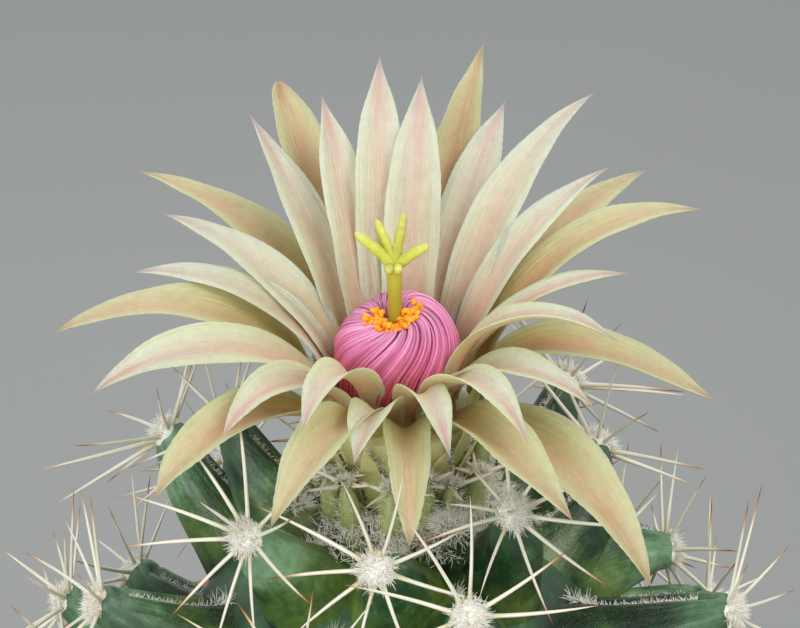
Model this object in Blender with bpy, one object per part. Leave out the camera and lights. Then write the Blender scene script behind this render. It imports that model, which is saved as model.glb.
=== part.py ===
# Potted round cactus in flower: clay pot, soil, tubercled stem with spines, and one open flower.
import math

import bmesh
import bpy
import numpy as np
from mathutils import Matrix, Vector

MM = 0.001

# Pot
POT_HEIGHT = 90 * MM
POT_BASE_RADIUS = 36 * MM
ROOM_AROUND = 11 * MM          # from the lowest tubercles to the pot's inner edge
POT_WALL = 5 * MM
POT_FLOOR = 7 * MM
RIM_HEIGHT = 18 * MM
RIM_STEP = 3 * MM
DRAIN_RADIUS = 6 * MM
SOIL_BELOW_RIM = 8 * MM

# Stem: an egg-shaped core that carries staggered rows of tubercles
CORE_RADIUS = 22 * MM
CORE_HALF_HEIGHT = 25 * MM
CORE_ABOVE_SOIL = 20 * MM      # middle of the core above the soil
FOOT_RADIUS = 12.5 * MM
FOOT_DEPTH = 5 * MM            # how far the foot stands in the soil
PER_ROW = 8
ROW_TURN = 5                   # degrees that the first row is turned by
RING_ANGLES = (22, 42, 62, 84, 106, 126)    # down from the top of the core, degrees
TUBERCLE_WIDTH = 12 * MM
TOP_ROW_SIZE = 0.85            # the young tubercles around the flower are slimmer
TUBERCLE_SECTIONS = ((0.3, 0.98), (0.55, 0.82), (0.8, 0.68), (1.0, 0.56))    # share of length, share of width
TUBERCLE_FLATNESS = 0.88       # height of a section over its width
TUBERCLE_BEND = 0.45           # share of its length that it leaves the core squarely
SPINE_LENGTH = 9 * MM
SPINE_TILT = 24                # degrees that the radial spines lean out of the areole's plane
SPINE_GAP = 0.9 * MM           # between one spine and the next
SPINE_CLEARANCE = 0.36         # from a neighbouring tubercle's axis, share of a tubercle's width
SPINE_INSET = 0.5 * MM         # from the edge of the areole's flank to the spine
AREOLE_RADIUS = 2.4 * MM
AREOLE_RISE = 1.3 * MM

# Flower; its reference point is where the style leaves the anthers
FLOWER_ABOVE_APEX = 16 * MM
SEAT_DROP = 9 * MM             # tube's flat top below the reference point
TUBE_FOOT_RADIUS = 5.6 * MM
TEPAL_THICKNESS = 0.5 * MM
TEPAL_GAP = 0.4 * MM           # between one ring of tepals and the next
LAST_RING = 3                  # outermost ring of tepals
TEPAL_LEAN = 1.45 * MM         # how far the steepest tepals lean out up to the dome's widest part
TEPAL_ROWS = 10                # faces along a tepal
TEPAL_WIDEST = 0.55            # share of the length
TEPAL_ROOT = 0.3               # share of the width
TEPAL_CHANNEL = 0.12           # rise of the edges, as a share of the half width
DOME_RADIUS = 6.1 * MM
DOME_TOP = 2.0 * MM
CRATER_RADIUS = 3.4 * MM
CRATER_FLOOR = 0.6 * MM
ANTHER_HEIGHT = 1.0 * MM
STYLE_RADIUS = 0.8 * MM
STYLE_HEIGHT = 7.4 * MM
LOBE_WIDTH = 1.0 * MM

GAP = 0.3 * MM                 # between pieces that touch

SOIL_LEVEL = POT_HEIGHT - SOIL_BELOW_RIM
CORE_MIDDLE = SOIL_LEVEL + CORE_ABOVE_SOIL
FLOWER_LEVEL = CORE_MIDDLE + CORE_HALF_HEIGHT + FLOWER_ABOVE_APEX
SEAT_RADIUS = DOME_RADIUS + GAP + TEPAL_THICKNESS / 2 - TEPAL_LEAN       # first ring of tepals
TEPAL_SPACING = TEPAL_THICKNESS + TEPAL_GAP
TUBE_TOP_RADIUS = SEAT_RADIUS + LAST_RING * TEPAL_SPACING + 0.8 * MM

# Upper two rows: azimuth, length in mm and rise in degrees of each tubercle.
UPPER_TUBERCLES = (
    ((20, 10.5, 38), (62, 10.5, 45), (105, 10.5, 47), (157, 13.0, 30),
     (190, 11.0, 62), (228, 11.5, 44), (266, 10.0, 43), (306, 10.5, 65)),
    ((15, 11.5, -3), (75, 12.0, 11), (125, 12.0, 12), (165, 13.0, -16),
     (200, 18.0, 14), (250, 11.5, 20), (284, 14.5, 54), (342, 17.0, 13)),
)
LOWER_TUBERCLES = ((14.0, 8), (13.5, -8))   # length in mm and rise of the two lower rows
PLANT_REACH = (CORE_RADIUS * math.sin(math.radians(RING_ANGLES[-2]))
               + LOWER_TUBERCLES[-1][0] * MM * math.cos(math.radians(LOWER_TUBERCLES[-1][1])))
POT_MOUTH_RADIUS = PLANT_REACH + ROOM_AROUND

# Azimuth, length in mm, width as a share of the seat's radius, slope at the root and at the tip in
# degrees, and ring counted from the middle; azimuth 0 is +X and -90 the front. The flatter of two
# neighbours is on the outer ring.
INNER_TEPALS = (
    (-165, 31.0, 1.00, 64, -38, 0), (-145, 20.5, 0.92, 72, -42, 1), (-121, 21.0, 0.88, 76, -55, 0),
    (-100, 21.0, 0.88, 74, -52, 1), (-78, 21.0, 0.88, 74, -50, 0), (-58, 22.5, 0.92, 72, -44, 1),
    (-43, 24.0, 0.88, 71, -28, 0), (-21, 23.5, 0.85, 77, -22, 1), (-3, 25.0, 0.88, 70, 8, 0),
    (25, 30.0, 0.96, 73, 22, 1), (44, 35.5, 1.04, 70, 26, 2), (61, 31.0, 0.96, 75, 38, 1),
    (82, 31.5, 1.04, 77, 54, 0), (95, 34.0, 1.08, 74, 48, 1), (113, 30.5, 1.00, 76, 50, 0),
    (129, 31.5, 1.08, 72, 32, 1), (157, 28.5, 1.04, 70, 10, 0), (172, 28.0, 1.00, 64, -10, 1),
)
OUTER_TEPALS = (
    (178, 31.5, 1.23, 54, -27, 3), (-144, 26.5, 1.23, 43, -54, 3), (-118, 22.5, 1.15, 48, -64, 2),
    (-86, 18.5, 0.96, 42, -75, 3), (-62, 22.5, 1.15, 48, -64, 2), (-38, 32.5, 1.27, 44, -70, 3),
    (-14, 30.5, 1.31, 56, -34, 3), (14, 32.5, 1.31, 66, 6, 3), (40, 32.5, 1.23, 62, 6, 3),
    (72, 36.5, 1.27, 69, 34, 3), (117, 33.0, 1.27, 69, 34, 3), (141, 33.5, 1.23, 60, 4, 3),
)
# Azimuth, length in mm and rise in degrees of each stigma lobe
STIGMA_LOBES = ((0, 4.1, 36), (66, 5.1, 52), (122, 4.9, 42), (170, 5.1, 30), (247, 2.7, 14), (300, 2.6, 20))


def material(name, colour, roughness):
    """A plain Principled material."""
    result = bpy.data.materials.new(name)
    result.use_nodes = True
    shader = result.node_tree.nodes["Principled BSDF"]
    shader.inputs["Base Color"].default_value = (*colour, 1)
    shader.inputs["Roughness"].default_value = roughness
    shader.inputs["Metallic"].default_value = 0
    return result


def place(name, bm, skin, parent=None, turn=0):
    """Turn a bmesh into a named object, under its parent and turned about its vertical axis."""
    mesh = bpy.data.meshes.new(name)
    bm.to_mesh(mesh)
    bm.free()
    mesh.materials.append(skin)
    mesh.shade_smooth()
    mesh.set_sharp_from_angle(angle=math.radians(40))
    result = bpy.data.objects.new(name, mesh)
    bpy.context.collection.objects.link(result)
    result.parent = parent
    result.rotation_euler.z = math.radians(turn)
    return result


def turned(profile, steps, closed):
    """Spin a profile of (radius, height) about the vertical axis; an open one ends on the axis."""
    bm = bmesh.new()
    points = [bm.verts.new((radius, 0, height)) for radius, height in profile]
    pairs = list(zip(points, points[1:]))
    if closed:
        pairs.append((points[-1], points[0]))
    edges = [bm.edges.new(pair) for pair in pairs]
    bmesh.ops.spin(bm, geom=points + edges, axis=(0, 0, 1), cent=(0, 0, 0),
                   angle=math.tau, steps=steps, use_merge=True)
    bmesh.ops.remove_doubles(bm, verts=bm.verts, dist=1e-6)
    bmesh.ops.recalc_face_normals(bm, faces=bm.faces)
    return bm


def pot_inside(height):
    """Inner radius of the pot at a height above its foot."""
    bottom = POT_BASE_RADIUS - POT_WALL
    return bottom + (POT_MOUTH_RADIUS - bottom) * (height - POT_FLOOR) / (POT_HEIGHT - POT_FLOOR)


def pot(skin):
    """Tapered clay pot with a stepped rim and a drain hole."""
    step = POT_HEIGHT - RIM_HEIGHT
    under = pot_inside(step) + POT_WALL
    rim = POT_MOUTH_RADIUS + POT_WALL + RIM_STEP / 2
    edge = 1 * MM
    profile = [
        (DRAIN_RADIUS, 0), (POT_BASE_RADIUS - edge, 0), (POT_BASE_RADIUS, edge),
        (under, step), (under + RIM_STEP - edge / 2, step),
        (rim, POT_HEIGHT - edge), (rim - edge, POT_HEIGHT),
        (POT_MOUTH_RADIUS + edge, POT_HEIGHT), (pot_inside(POT_HEIGHT - edge), POT_HEIGHT - edge),
        (pot_inside(POT_FLOOR), POT_FLOOR), (DRAIN_RADIUS, POT_FLOOR),
    ]
    return place("pot", turned(profile, 56, closed=True), skin)


def soil(skin):
    """Soil that fills the pot, with a socket for the foot of the stem."""
    bottom = POT_FLOOR + GAP
    socket = SOIL_LEVEL - FOOT_DEPTH - GAP
    mound = 1.2 * MM
    profile = [
        (0, bottom), (pot_inside(bottom) - GAP, bottom), (pot_inside(SOIL_LEVEL) - GAP, SOIL_LEVEL),
        (CORE_RADIUS, SOIL_LEVEL + mound), (FOOT_RADIUS + GAP, SOIL_LEVEL + mound / 2),
        (FOOT_RADIUS + GAP, socket), (0, socket),
    ]
    return place("soil", turned(profile, 48, closed=False), skin)


def core_point(azimuth, down):
    """Point of the core's egg shape, azimuth and angle down from the top in degrees."""
    turn, drop = math.radians(azimuth), math.radians(down)
    radius = CORE_RADIUS * math.sin(drop)
    return Vector((radius * math.cos(turn), radius * math.sin(turn),
                   CORE_MIDDLE + CORE_HALF_HEIGHT * math.cos(drop)))


def tubercle_rows():
    """Every tubercle as (row, place in the row, azimuth, length, rise), from the top row down."""
    for row, specs in enumerate(UPPER_TUBERCLES):
        for index, (azimuth, length, rise) in enumerate(specs):
            yield row, index, azimuth, length * MM, rise
    step = 360 / PER_ROW
    for row, (length, rise) in enumerate(LOWER_TUBERCLES, start=len(UPPER_TUBERCLES)):
        for index in range(PER_ROW):
            azimuth = ROW_TURN + step * (index + row % 2 / 2) + 4 * math.sin(2.3 * index + row)
            yield row, index, azimuth, length * MM * (1 + 0.06 * math.sin(1.7 * index + 2 * row)), rise


def tubercle_tip(row, azimuth, length, rise):
    """Tip of a tubercle: its length away from the core, at its azimuth and rise."""
    turn, lift = math.radians(azimuth), math.radians(rise)
    aim = Vector((math.cos(lift) * math.cos(turn), math.cos(lift) * math.sin(turn), math.sin(lift)))
    return core_point(azimuth, RING_ANGLES[row + 1]) + aim * length


def spread(start, end, count=10):
    """Points evenly spread from start to end."""
    return np.linspace(np.array(start), np.array(end), count)


def is_clear(points, obstacles):
    """Whether points keep each obstacle's distance from the obstacle's own points."""
    return all(np.linalg.norm(points[:, None] - other[None], axis=2).min() > distance
               for other, distance in obstacles)


def core_net(bm):
    """Skin of the core as staggered rows of eight-sided diamonds, closed at the top and by the foot."""
    step = 360 / PER_ROW
    corners = [[bm.verts.new(core_point(ROW_TURN + step * (index + ring % 2 / 2), down))
                for index in range(PER_ROW)]
               for ring, down in enumerate(RING_ANGLES)]
    middles = {}

    def middle(first, second):
        key = frozenset((first, second))
        if key not in middles:
            middles[key] = bm.verts.new((first.co + second.co) / 2)
        return middles[key]

    last = len(RING_ANGLES) - 1
    rows = []
    for ring in range(last + 1):
        row = []
        for index in range(PER_ROW):
            left = corners[ring][index - ring % 2]
            right = corners[ring][(index + 1 - ring % 2) % PER_ROW]
            walk = [left]
            if ring > 0:
                above = corners[ring - 1][index]
                walk += [middle(left, above), above, middle(above, right)]
            walk.append(right)
            if ring < last:
                below = corners[ring + 1][index]
                walk += [middle(right, below), below, middle(below, left)]
            row.append(bm.faces.new(walk))
        rows.append(row)
    bm.faces.new(corners[0])
    foot = bm.faces.new(corners[last])
    for height in (SOIL_LEVEL + 1.5 * MM, SOIL_LEVEL - FOOT_DEPTH):
        foot = bmesh.ops.extrude_discrete_faces(bm, faces=[foot])["faces"][0]
        for vert in foot.verts:
            flat = Vector((vert.co.x, vert.co.y, 0)).normalized() * FOOT_RADIUS
            vert.co = (flat.x, flat.y, height)
    bmesh.ops.recalc_face_normals(bm, faces=bm.faces)
    return rows[1:last]


def curve_point(axis, share):
    """Point and direction on a quadratic curve through its root, towards its control point, to its tip."""
    root, control, tip = axis
    point = root * (1 - share) ** 2 + control * 2 * share * (1 - share) + tip * share ** 2
    return point, ((control - root) * (1 - share) + (tip - control) * share).normalized()


def reshape(face, centre, along, half_width, half_height):
    """Move an eight-sided face's corners onto an ellipse about centre, square to along."""
    side = Vector((0, 0, 1)).cross(along).normalized()
    up = along.cross(side)
    middle = face.calc_center_median()
    for vert in face.verts:
        away = vert.co - middle
        eighth = round(math.atan2(away.dot(up), away.dot(side)) / (math.tau / 8))
        angle = eighth * math.tau / 8
        vert.co = centre + side * half_width * math.cos(angle) + up * half_height * math.sin(angle)


def pull_spine(bm, face, inset, tip):
    """Inset a face and draw its middle out to a point."""
    bmesh.ops.inset_individual(bm, faces=[face], thickness=inset)
    point = bmesh.ops.poke(bm, faces=[face])["verts"][0]
    point.co = tip


def spine_fits(points, obstacles):
    """Whether a spine stays off the soil and the pot and away from what is already there."""
    radii = np.hypot(points[:, 0], points[:, 1])
    in_pot = points[:, 2] < POT_HEIGHT + 1 * MM
    off_wall = np.all(radii[in_pot] < POT_MOUTH_RADIUS - 1 * MM)
    return points[:, 2].min() > SOIL_LEVEL + 2 * MM and off_wall and is_clear(points, obstacles)


def tubercle(bm, face, axis, size):
    """Draw a tubercle out of its diamond, ending in a raised areole; returns the areole's top face."""
    half = TUBERCLE_WIDTH / 2 * size
    for share, width in TUBERCLE_SECTIONS:
        face = bmesh.ops.extrude_discrete_faces(bm, faces=[face])["faces"][0]
        centre, along = curve_point(axis, share)
        reshape(face, centre, along, half * width, half * width * TUBERCLE_FLATNESS)
    face = bmesh.ops.extrude_discrete_faces(bm, faces=[face])["faces"][0]
    reshape(face, centre + along * AREOLE_RISE, along, AREOLE_RADIUS, AREOLE_RADIUS)
    return face


def add_spines(bm, areole, along, obstacles, order):
    """Eight radial spines from the areole's flank and one from its top, where there is room."""
    flanks = [other for edge in areole.edges for other in edge.link_faces if other is not areole]
    middle = areole.calc_center_median()
    for index, flank in enumerate(flanks):
        root = flank.calc_center_median()
        away = (root - middle) - along * (root - middle).dot(along)
        lean = math.radians(SPINE_TILT)
        aim = away.normalized() * math.cos(lean) + along * math.sin(lean)
        tip = root + aim * SPINE_LENGTH * (1 + 0.12 * math.sin(2.1 * index + 1.3 * order))
        points = spread(root + aim * 0.8 * MM, tip)
        if spine_fits(points, obstacles):
            obstacles.append((points, SPINE_GAP))
            pull_spine(bm, flank, SPINE_INSET, tip)
    tip = middle + along * SPINE_LENGTH * 0.9
    points = spread(middle + along * MM, tip)
    if spine_fits(points, obstacles):
        obstacles.append((points, SPINE_GAP))
        pull_spine(bm, areole, AREOLE_RADIUS * 0.75, tip)


def stem(skin, tepal_paths):
    """Core, tubercles and spines as one grown body."""
    bm = bmesh.new()
    rows = core_net(bm)
    grown = []
    for row, index, azimuth, length, rise in tubercle_rows():
        face = rows[row][index]
        tip = tubercle_tip(row, azimuth, length, rise)
        root = face.calc_center_median()
        axis = (root, root + face.normal * length * TUBERCLE_BEND, tip)
        grown.append((tubercle(bm, face, axis, TOP_ROW_SIZE if row == 0 else 1), axis))
    bodies = [np.array([curve_point(axis, share)[0] for share in np.linspace(0, 1, 8)]) for _, axis in grown]
    spines = list(tepal_paths)
    for order, (areole, axis) in enumerate(grown):
        others = [(body, TUBERCLE_WIDTH * SPINE_CLEARANCE) for index, body in enumerate(bodies) if index != order]
        obstacles = spines + others
        before = len(obstacles)
        add_spines(bm, areole, curve_point(axis, 1)[1], obstacles, order)
        spines += obstacles[before:]
    return place("stem", bm, skin)


def tepal_line(spec):
    """Points along a tepal's middle, from its root, and their slopes; the slope changes evenly."""
    _, length, _, root_slope, tip_slope, ring = spec
    share = np.linspace(0, 1, TEPAL_ROWS + 1)
    slope = np.radians(root_slope + (tip_slope - root_slope) * share)
    mid_slope = (slope[1:] + slope[:-1]) / 2
    steps = np.stack([np.cos(mid_slope), np.zeros(TEPAL_ROWS), np.sin(mid_slope)], axis=1)
    lowest = TEPAL_THICKNESS / 2 * math.cos(math.radians(root_slope))
    root = np.array([SEAT_RADIUS + ring * TEPAL_SPACING, 0, -SEAT_DROP + GAP + lowest])
    line = root + np.vstack([np.zeros(3), np.cumsum(steps, axis=0) * length * MM / TEPAL_ROWS])
    return line, slope


def tepal_half_width(share, width):
    """Half width at a share of the length: narrow root, widest halfway, long point."""
    if share < TEPAL_WIDEST:
        return width / 2 * (TEPAL_ROOT + (1 - TEPAL_ROOT) * share / TEPAL_WIDEST)
    rest = (share - TEPAL_WIDEST) / (1 - TEPAL_WIDEST)
    return width / 2 * (1 - rest) ** 1.15 * (1 + 1.15 * rest)


def tepal(name, spec, skin, parent):
    """One tepal: a slightly channelled sheet with a point, given its thickness."""
    azimuth, _, width = spec[:3]
    line, slope = tepal_line(spec)
    bm = bmesh.new()
    rows = []
    for row in range(TEPAL_ROWS):
        half = tepal_half_width(row / TEPAL_ROWS, width * SEAT_RADIUS)
        raised = Vector((-math.sin(slope[row]), 0, math.cos(slope[row]))) * half * TEPAL_CHANNEL
        middle = Vector(line[row])
        across = Vector((0, half, 0))
        rows.append([bm.verts.new(middle + raised - across), bm.verts.new(middle),
                     bm.verts.new(middle + raised + across)])
    for lower, upper in zip(rows, rows[1:]):
        for side in (0, 1):
            bm.faces.new((lower[side], lower[side + 1], upper[side + 1], upper[side]))
    tip = bm.verts.new(line[-1])
    for side in (0, 1):
        bm.faces.new((rows[-1][side], rows[-1][side + 1], tip))
    result = place(name, bm, skin, parent, azimuth)
    thickness = result.modifiers.new("thickness", "SOLIDIFY")
    thickness.thickness = TEPAL_THICKNESS
    thickness.offset = 0
    return result


def tepal_paths():
    """Middle line of each tepal in the plant's frame, with the distance that spines keep from it."""
    for spec in INNER_TEPALS + OUTER_TEPALS:
        line, _ = tepal_line(spec)
        turn = math.radians(spec[0])
        path = np.stack([line[:, 0] * math.cos(turn), line[:, 0] * math.sin(turn),
                         line[:, 2] + FLOWER_LEVEL], axis=1)
        yield path, spec[2] * SEAT_RADIUS / 2 + MM


def floral_tube(skin, parent):
    """Tube between the stem's top and the tepals, with a flat seat for them."""
    foot = core_point(0, RING_ANGLES[0]).z + GAP - FLOWER_LEVEL
    profile = [
        (0, foot), (TUBE_FOOT_RADIUS, foot), (TUBE_FOOT_RADIUS, (foot - SEAT_DROP) / 2 - MM),
        (TUBE_TOP_RADIUS, -SEAT_DROP - MM), (TUBE_TOP_RADIUS, -SEAT_DROP), (0, -SEAT_DROP),
    ]
    return place("floral_tube", turned(profile, 24, closed=False), skin, parent)


def filaments(skin, parent):
    """Dome of stamens around the style, with a shallow crater on top for the anthers."""
    bore = STYLE_RADIUS + GAP
    foot = -SEAT_DROP + GAP
    throat = SEAT_RADIUS - TEPAL_THICKNESS / 2 - GAP
    profile = [
        (bore, foot), (throat - GAP, foot), (throat + 1.5 * GAP, foot * 0.75),
        (DOME_RADIUS, foot * 0.35), (DOME_RADIUS * 0.97, -0.8 * MM), (DOME_RADIUS * 0.85, 1 * MM),
        (CRATER_RADIUS + 0.8 * MM, DOME_TOP), (CRATER_RADIUS + 0.1 * MM, DOME_TOP - 0.3 * MM),
        (CRATER_RADIUS, CRATER_FLOOR), (bore, CRATER_FLOOR),
    ]
    return place("filaments", turned(profile, 32, closed=True), skin, parent)


def anther_ring(skin, parent):
    """Crowded anthers as one ring in the crater."""
    inner = STYLE_RADIUS + GAP
    outer = CRATER_RADIUS - GAP
    foot = CRATER_FLOOR + GAP
    profile = [
        (inner, foot), (outer, foot), (outer, foot + ANTHER_HEIGHT / 2),
        (outer - 0.5 * MM, foot + ANTHER_HEIGHT), (inner + 0.3 * MM, foot + ANTHER_HEIGHT),
        (inner, foot + ANTHER_HEIGHT / 2),
    ]
    return place("anthers", turned(profile, 24, closed=True), skin, parent)


def pistil(skin, parent):
    """Six-sided style whose top faces are drawn out into the stigma's lobes."""
    bm = bmesh.new()
    shaft = STYLE_HEIGHT - LOBE_WIDTH + SEAT_DROP - GAP
    count = len(STIGMA_LOBES)
    rod = bmesh.ops.create_cone(bm, cap_ends=True, segments=count, depth=shaft,
                                radius1=STYLE_RADIUS, radius2=STYLE_RADIUS)
    corner = rod["verts"][0].co
    turn = math.pi / count - math.atan2(corner.y, corner.x)
    bmesh.ops.rotate(bm, verts=bm.verts, cent=(0, 0, 0), matrix=Matrix.Rotation(turn, 3, "Z"))
    bmesh.ops.translate(bm, verts=bm.verts, vec=(0, 0, STYLE_HEIGHT - LOBE_WIDTH - shaft / 2))
    face = max(bm.faces, key=lambda item: item.calc_center_median().z)
    face = bmesh.ops.extrude_discrete_faces(bm, faces=[face])["faces"][0]
    bmesh.ops.translate(bm, verts=face.verts, vec=(0, 0, LOBE_WIDTH))
    sides = [other for edge in face.edges for other in edge.link_faces if other is not face]
    for azimuth, length, rise in STIGMA_LOBES:
        aim = Vector((math.cos(math.radians(azimuth)), math.sin(math.radians(azimuth)), 0))
        side = max(sides, key=lambda item: item.calc_center_median().normalized().to_2d().dot(aim.to_2d()))
        sides.remove(side)
        lift = math.radians(rise)
        for share, size in ((0.5, 0.9), (0.5, 0.6)):
            side = bmesh.ops.extrude_discrete_faces(bm, faces=[side])["faces"][0]
            middle = side.calc_center_median()
            step = (aim * math.cos(lift) + Vector((0, 0, math.sin(lift)))) * length * MM * share
            for vert in side.verts:
                vert.co = middle + (vert.co - middle) * size + step
    bmesh.ops.recalc_face_normals(bm, faces=bm.faces)
    return place("pistil", bm, skin, parent)


for leftover in list(bpy.data.objects):
    bpy.data.objects.remove(leftover)

clay = material("clay", (0.42, 0.13, 0.06), 0.85)
earth = material("earth", (0.055, 0.038, 0.026), 0.95)
green = material("green", (0.045, 0.13, 0.05), 0.55)
tube_skin = material("tube_skin", (0.32, 0.36, 0.11), 0.6)
inner_skin = material("inner_skin", (0.75, 0.62, 0.5), 0.6)
outer_skin = material("outer_skin", (0.52, 0.46, 0.22), 0.6)
pink = material("pink", (0.65, 0.17, 0.4), 0.5)
orange = material("orange", (0.9, 0.36, 0.02), 0.6)
lime = material("lime", (0.6, 0.55, 0.07), 0.6)

pot(clay)
soil(earth)
stem(green, tepal_paths())

flower = bpy.data.objects.new("flower", None)
bpy.context.collection.objects.link(flower)
flower.location.z = FLOWER_LEVEL
floral_tube(tube_skin, flower)
filaments(pink, flower)
anther_ring(orange, flower)
pistil(lime, flower)
for number, spec in enumerate(INNER_TEPALS, start=1):
    tepal(f"inner_tepal_{number:02d}", spec, inner_skin, flower)
for number, spec in enumerate(OUTER_TEPALS, start=1):
    tepal(f"outer_tepal_{number:02d}", spec, outer_skin, flower)
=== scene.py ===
import math

import bpy
import numpy as np
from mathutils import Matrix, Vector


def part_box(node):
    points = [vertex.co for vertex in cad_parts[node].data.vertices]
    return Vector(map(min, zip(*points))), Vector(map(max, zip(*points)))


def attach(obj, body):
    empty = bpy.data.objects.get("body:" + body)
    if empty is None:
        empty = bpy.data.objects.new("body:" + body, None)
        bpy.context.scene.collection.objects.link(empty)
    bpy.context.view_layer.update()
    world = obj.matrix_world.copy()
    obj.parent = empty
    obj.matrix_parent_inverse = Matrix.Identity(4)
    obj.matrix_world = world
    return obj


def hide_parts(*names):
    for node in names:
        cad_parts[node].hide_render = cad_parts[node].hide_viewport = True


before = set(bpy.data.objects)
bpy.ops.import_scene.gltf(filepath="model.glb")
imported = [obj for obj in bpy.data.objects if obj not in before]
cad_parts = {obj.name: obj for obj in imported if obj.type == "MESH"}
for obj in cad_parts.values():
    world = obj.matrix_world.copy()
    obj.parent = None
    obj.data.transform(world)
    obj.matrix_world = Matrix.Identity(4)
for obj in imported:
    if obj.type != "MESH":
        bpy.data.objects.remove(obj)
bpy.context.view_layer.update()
mm = 0.001
potLow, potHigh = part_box("pot")
_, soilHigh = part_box("soil")
tubeLow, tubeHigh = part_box("floral_tube")
flowerLevel = tubeHigh.z / mm + 9.0      # height of the flower's throat; lengths below are in millimetres
soilLevel = soilHigh.z / mm - 1.2        # the soil's edge, under the top of its mound
coreMiddle = soilLevel + 20.0            # middle of the stem's core
chance = np.random.default_rng(41)
axisUp = np.array([0.0, 0.0, 1.0])
aslant = np.array([0.23, 0.41, 0.88])    # a direction that no strand runs along, to turn its section by


# tools for shapes

def unit(vectors):
    # each vector divided by its own length
    return vectors / np.maximum(np.linalg.norm(vectors, axis=-1, keepdims=True), 1e-12)


def smooth(low, high, value):
    # 0 below low, 1 above high, and 3t^2 - 2t^3 between them
    share = np.clip((value - low) / (high - low), 0, 1)
    return share * share * (3 - 2 * share)


def acrossPath(path, toward):
    # tangent = difference along the path; first = toward without its part along the tangent;
    # second = tangent x first
    tangent = unit(np.gradient(path, axis=-2))
    first = unit(toward - (toward * tangent).sum(-1, keepdims=True) * tangent)
    return tangent, first, np.cross(tangent, first)


def roundAngles(count):
    # count equal steps of a full turn
    return np.arange(count) / count * 2 * np.pi


def polar(radius, turn, height):
    # points at a radius, an azimuth and a height
    return np.stack([radius * np.cos(turn), radius * np.sin(turn), height + 0 * turn], axis=-1)


def gridPlaces(rows, places):
    # every pairing of a row with a place, row by row
    return np.repeat(np.arange(rows), places), np.tile(np.arange(places), rows)


def closedTubes(rings, across=None):
    # rings[tube, row, place] joined row to row, each end closed by a fan to the middle of its ring;
    # the map's u is the tube's number plus the share round it, and its v the share along it
    count, rows, around, _ = rings.shape
    across = np.linspace(0, 1, around + 1) if across is None else across
    points = np.concatenate([rings.reshape(count, -1, 3), rings[:, [0, -1]].mean(axis=2)], axis=1)
    row, place = gridPlaces(rows - 1, around)
    after = (place + 1) % around
    quads = np.stack([row * around + place, row * around + after,
                      (row + 1) * around + after, (row + 1) * around + place], axis=-1)
    quadMap = np.stack([across[[place, place + 1, place + 1, place]],
                        np.stack([row, row, row + 1, row + 1]) / (rows - 1)], axis=-1).transpose(1, 0, 2)
    spot = np.arange(around)
    beside = (spot + 1) % around
    last = (rows - 1) * around
    pole = np.full(around, rows * around)
    fans = np.concatenate([np.stack([pole, beside, spot], axis=-1),
                           np.stack([pole + 1, last + spot, last + beside], axis=-1)])
    middle = (across[spot] + across[spot + 1]) / 2
    fanMap = np.concatenate([
        np.stack([np.stack([middle, across[spot + 1], across[spot]], axis=-1), np.zeros((around, 3))],
                 axis=-1),
        np.stack([np.stack([middle, across[spot], across[spot + 1]], axis=-1), np.ones((around, 3))],
                 axis=-1)])
    shift = np.arange(count)[:, None, None] * (rows * around + 2)
    number = np.stack([np.arange(count), np.zeros(count)], axis=-1)[:, None, None]
    return {"points": points.reshape(-1, 3),
            "quads": (quads + shift).reshape(-1, 4), "fans": (fans + shift).reshape(-1, 3),
            "quadMap": (quadMap + number).reshape(-1, 2), "fanMap": (fanMap + number).reshape(-1, 2)}


def strands(paths, radii, around, toward, flat=1.0):
    # many thin tubes at once: path + radius * (cos a * first + flat * sin a * second)
    _, first, second = acrossPath(paths, toward)
    angle = roundAngles(around)[:, None]
    ring = np.cos(angle) * first[:, :, None] + flat * np.sin(angle) * second[:, :, None]
    return closedTubes(paths[:, :, None] + radii[:, :, None, None] * ring)


def basis(axis):
    # two directions square to an axis
    first = unit(np.cross(axis, [0.31, 0.17, 0.93]))
    return first, np.cross(axis, first)


def fibres(roots, aims, lengths, radius, rows=3, curl=0.5):
    # thin three-sided hairs that bend a little to one side on their way
    share = np.linspace(0, 1, rows)[:, None]
    drift = unit(chance.normal(0, 1, roots.shape)) * curl
    way = aims[:, None] * share + drift[:, None] * share ** 2
    paths = roots[:, None] + way * lengths[:, None, None]
    radii = radius * np.interp(share[:, 0], [0, 0.6, 1], [1.0, 0.8, 0.3])
    return strands(paths, np.tile(radii, (len(roots), 1)), 3, aslant)


def joined(parts):
    # several bundles of tubes as one, their corner numbers and their tube numbers moved on
    result = {key: [] for key in parts[0]}
    corners, tubes = 0, 0
    for part in parts:
        for key in ("quads", "fans"):
            result[key].append(part[key] + corners)
        for key in ("quadMap", "fanMap"):
            result[key].append(part[key] + [tubes, 0])
        result["points"].append(part["points"])
        corners += len(part["points"])
        tubes += int(np.ceil(part["quadMap"][:, 0].max()))
    return {key: np.concatenate(value) for key, value in result.items()}


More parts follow.
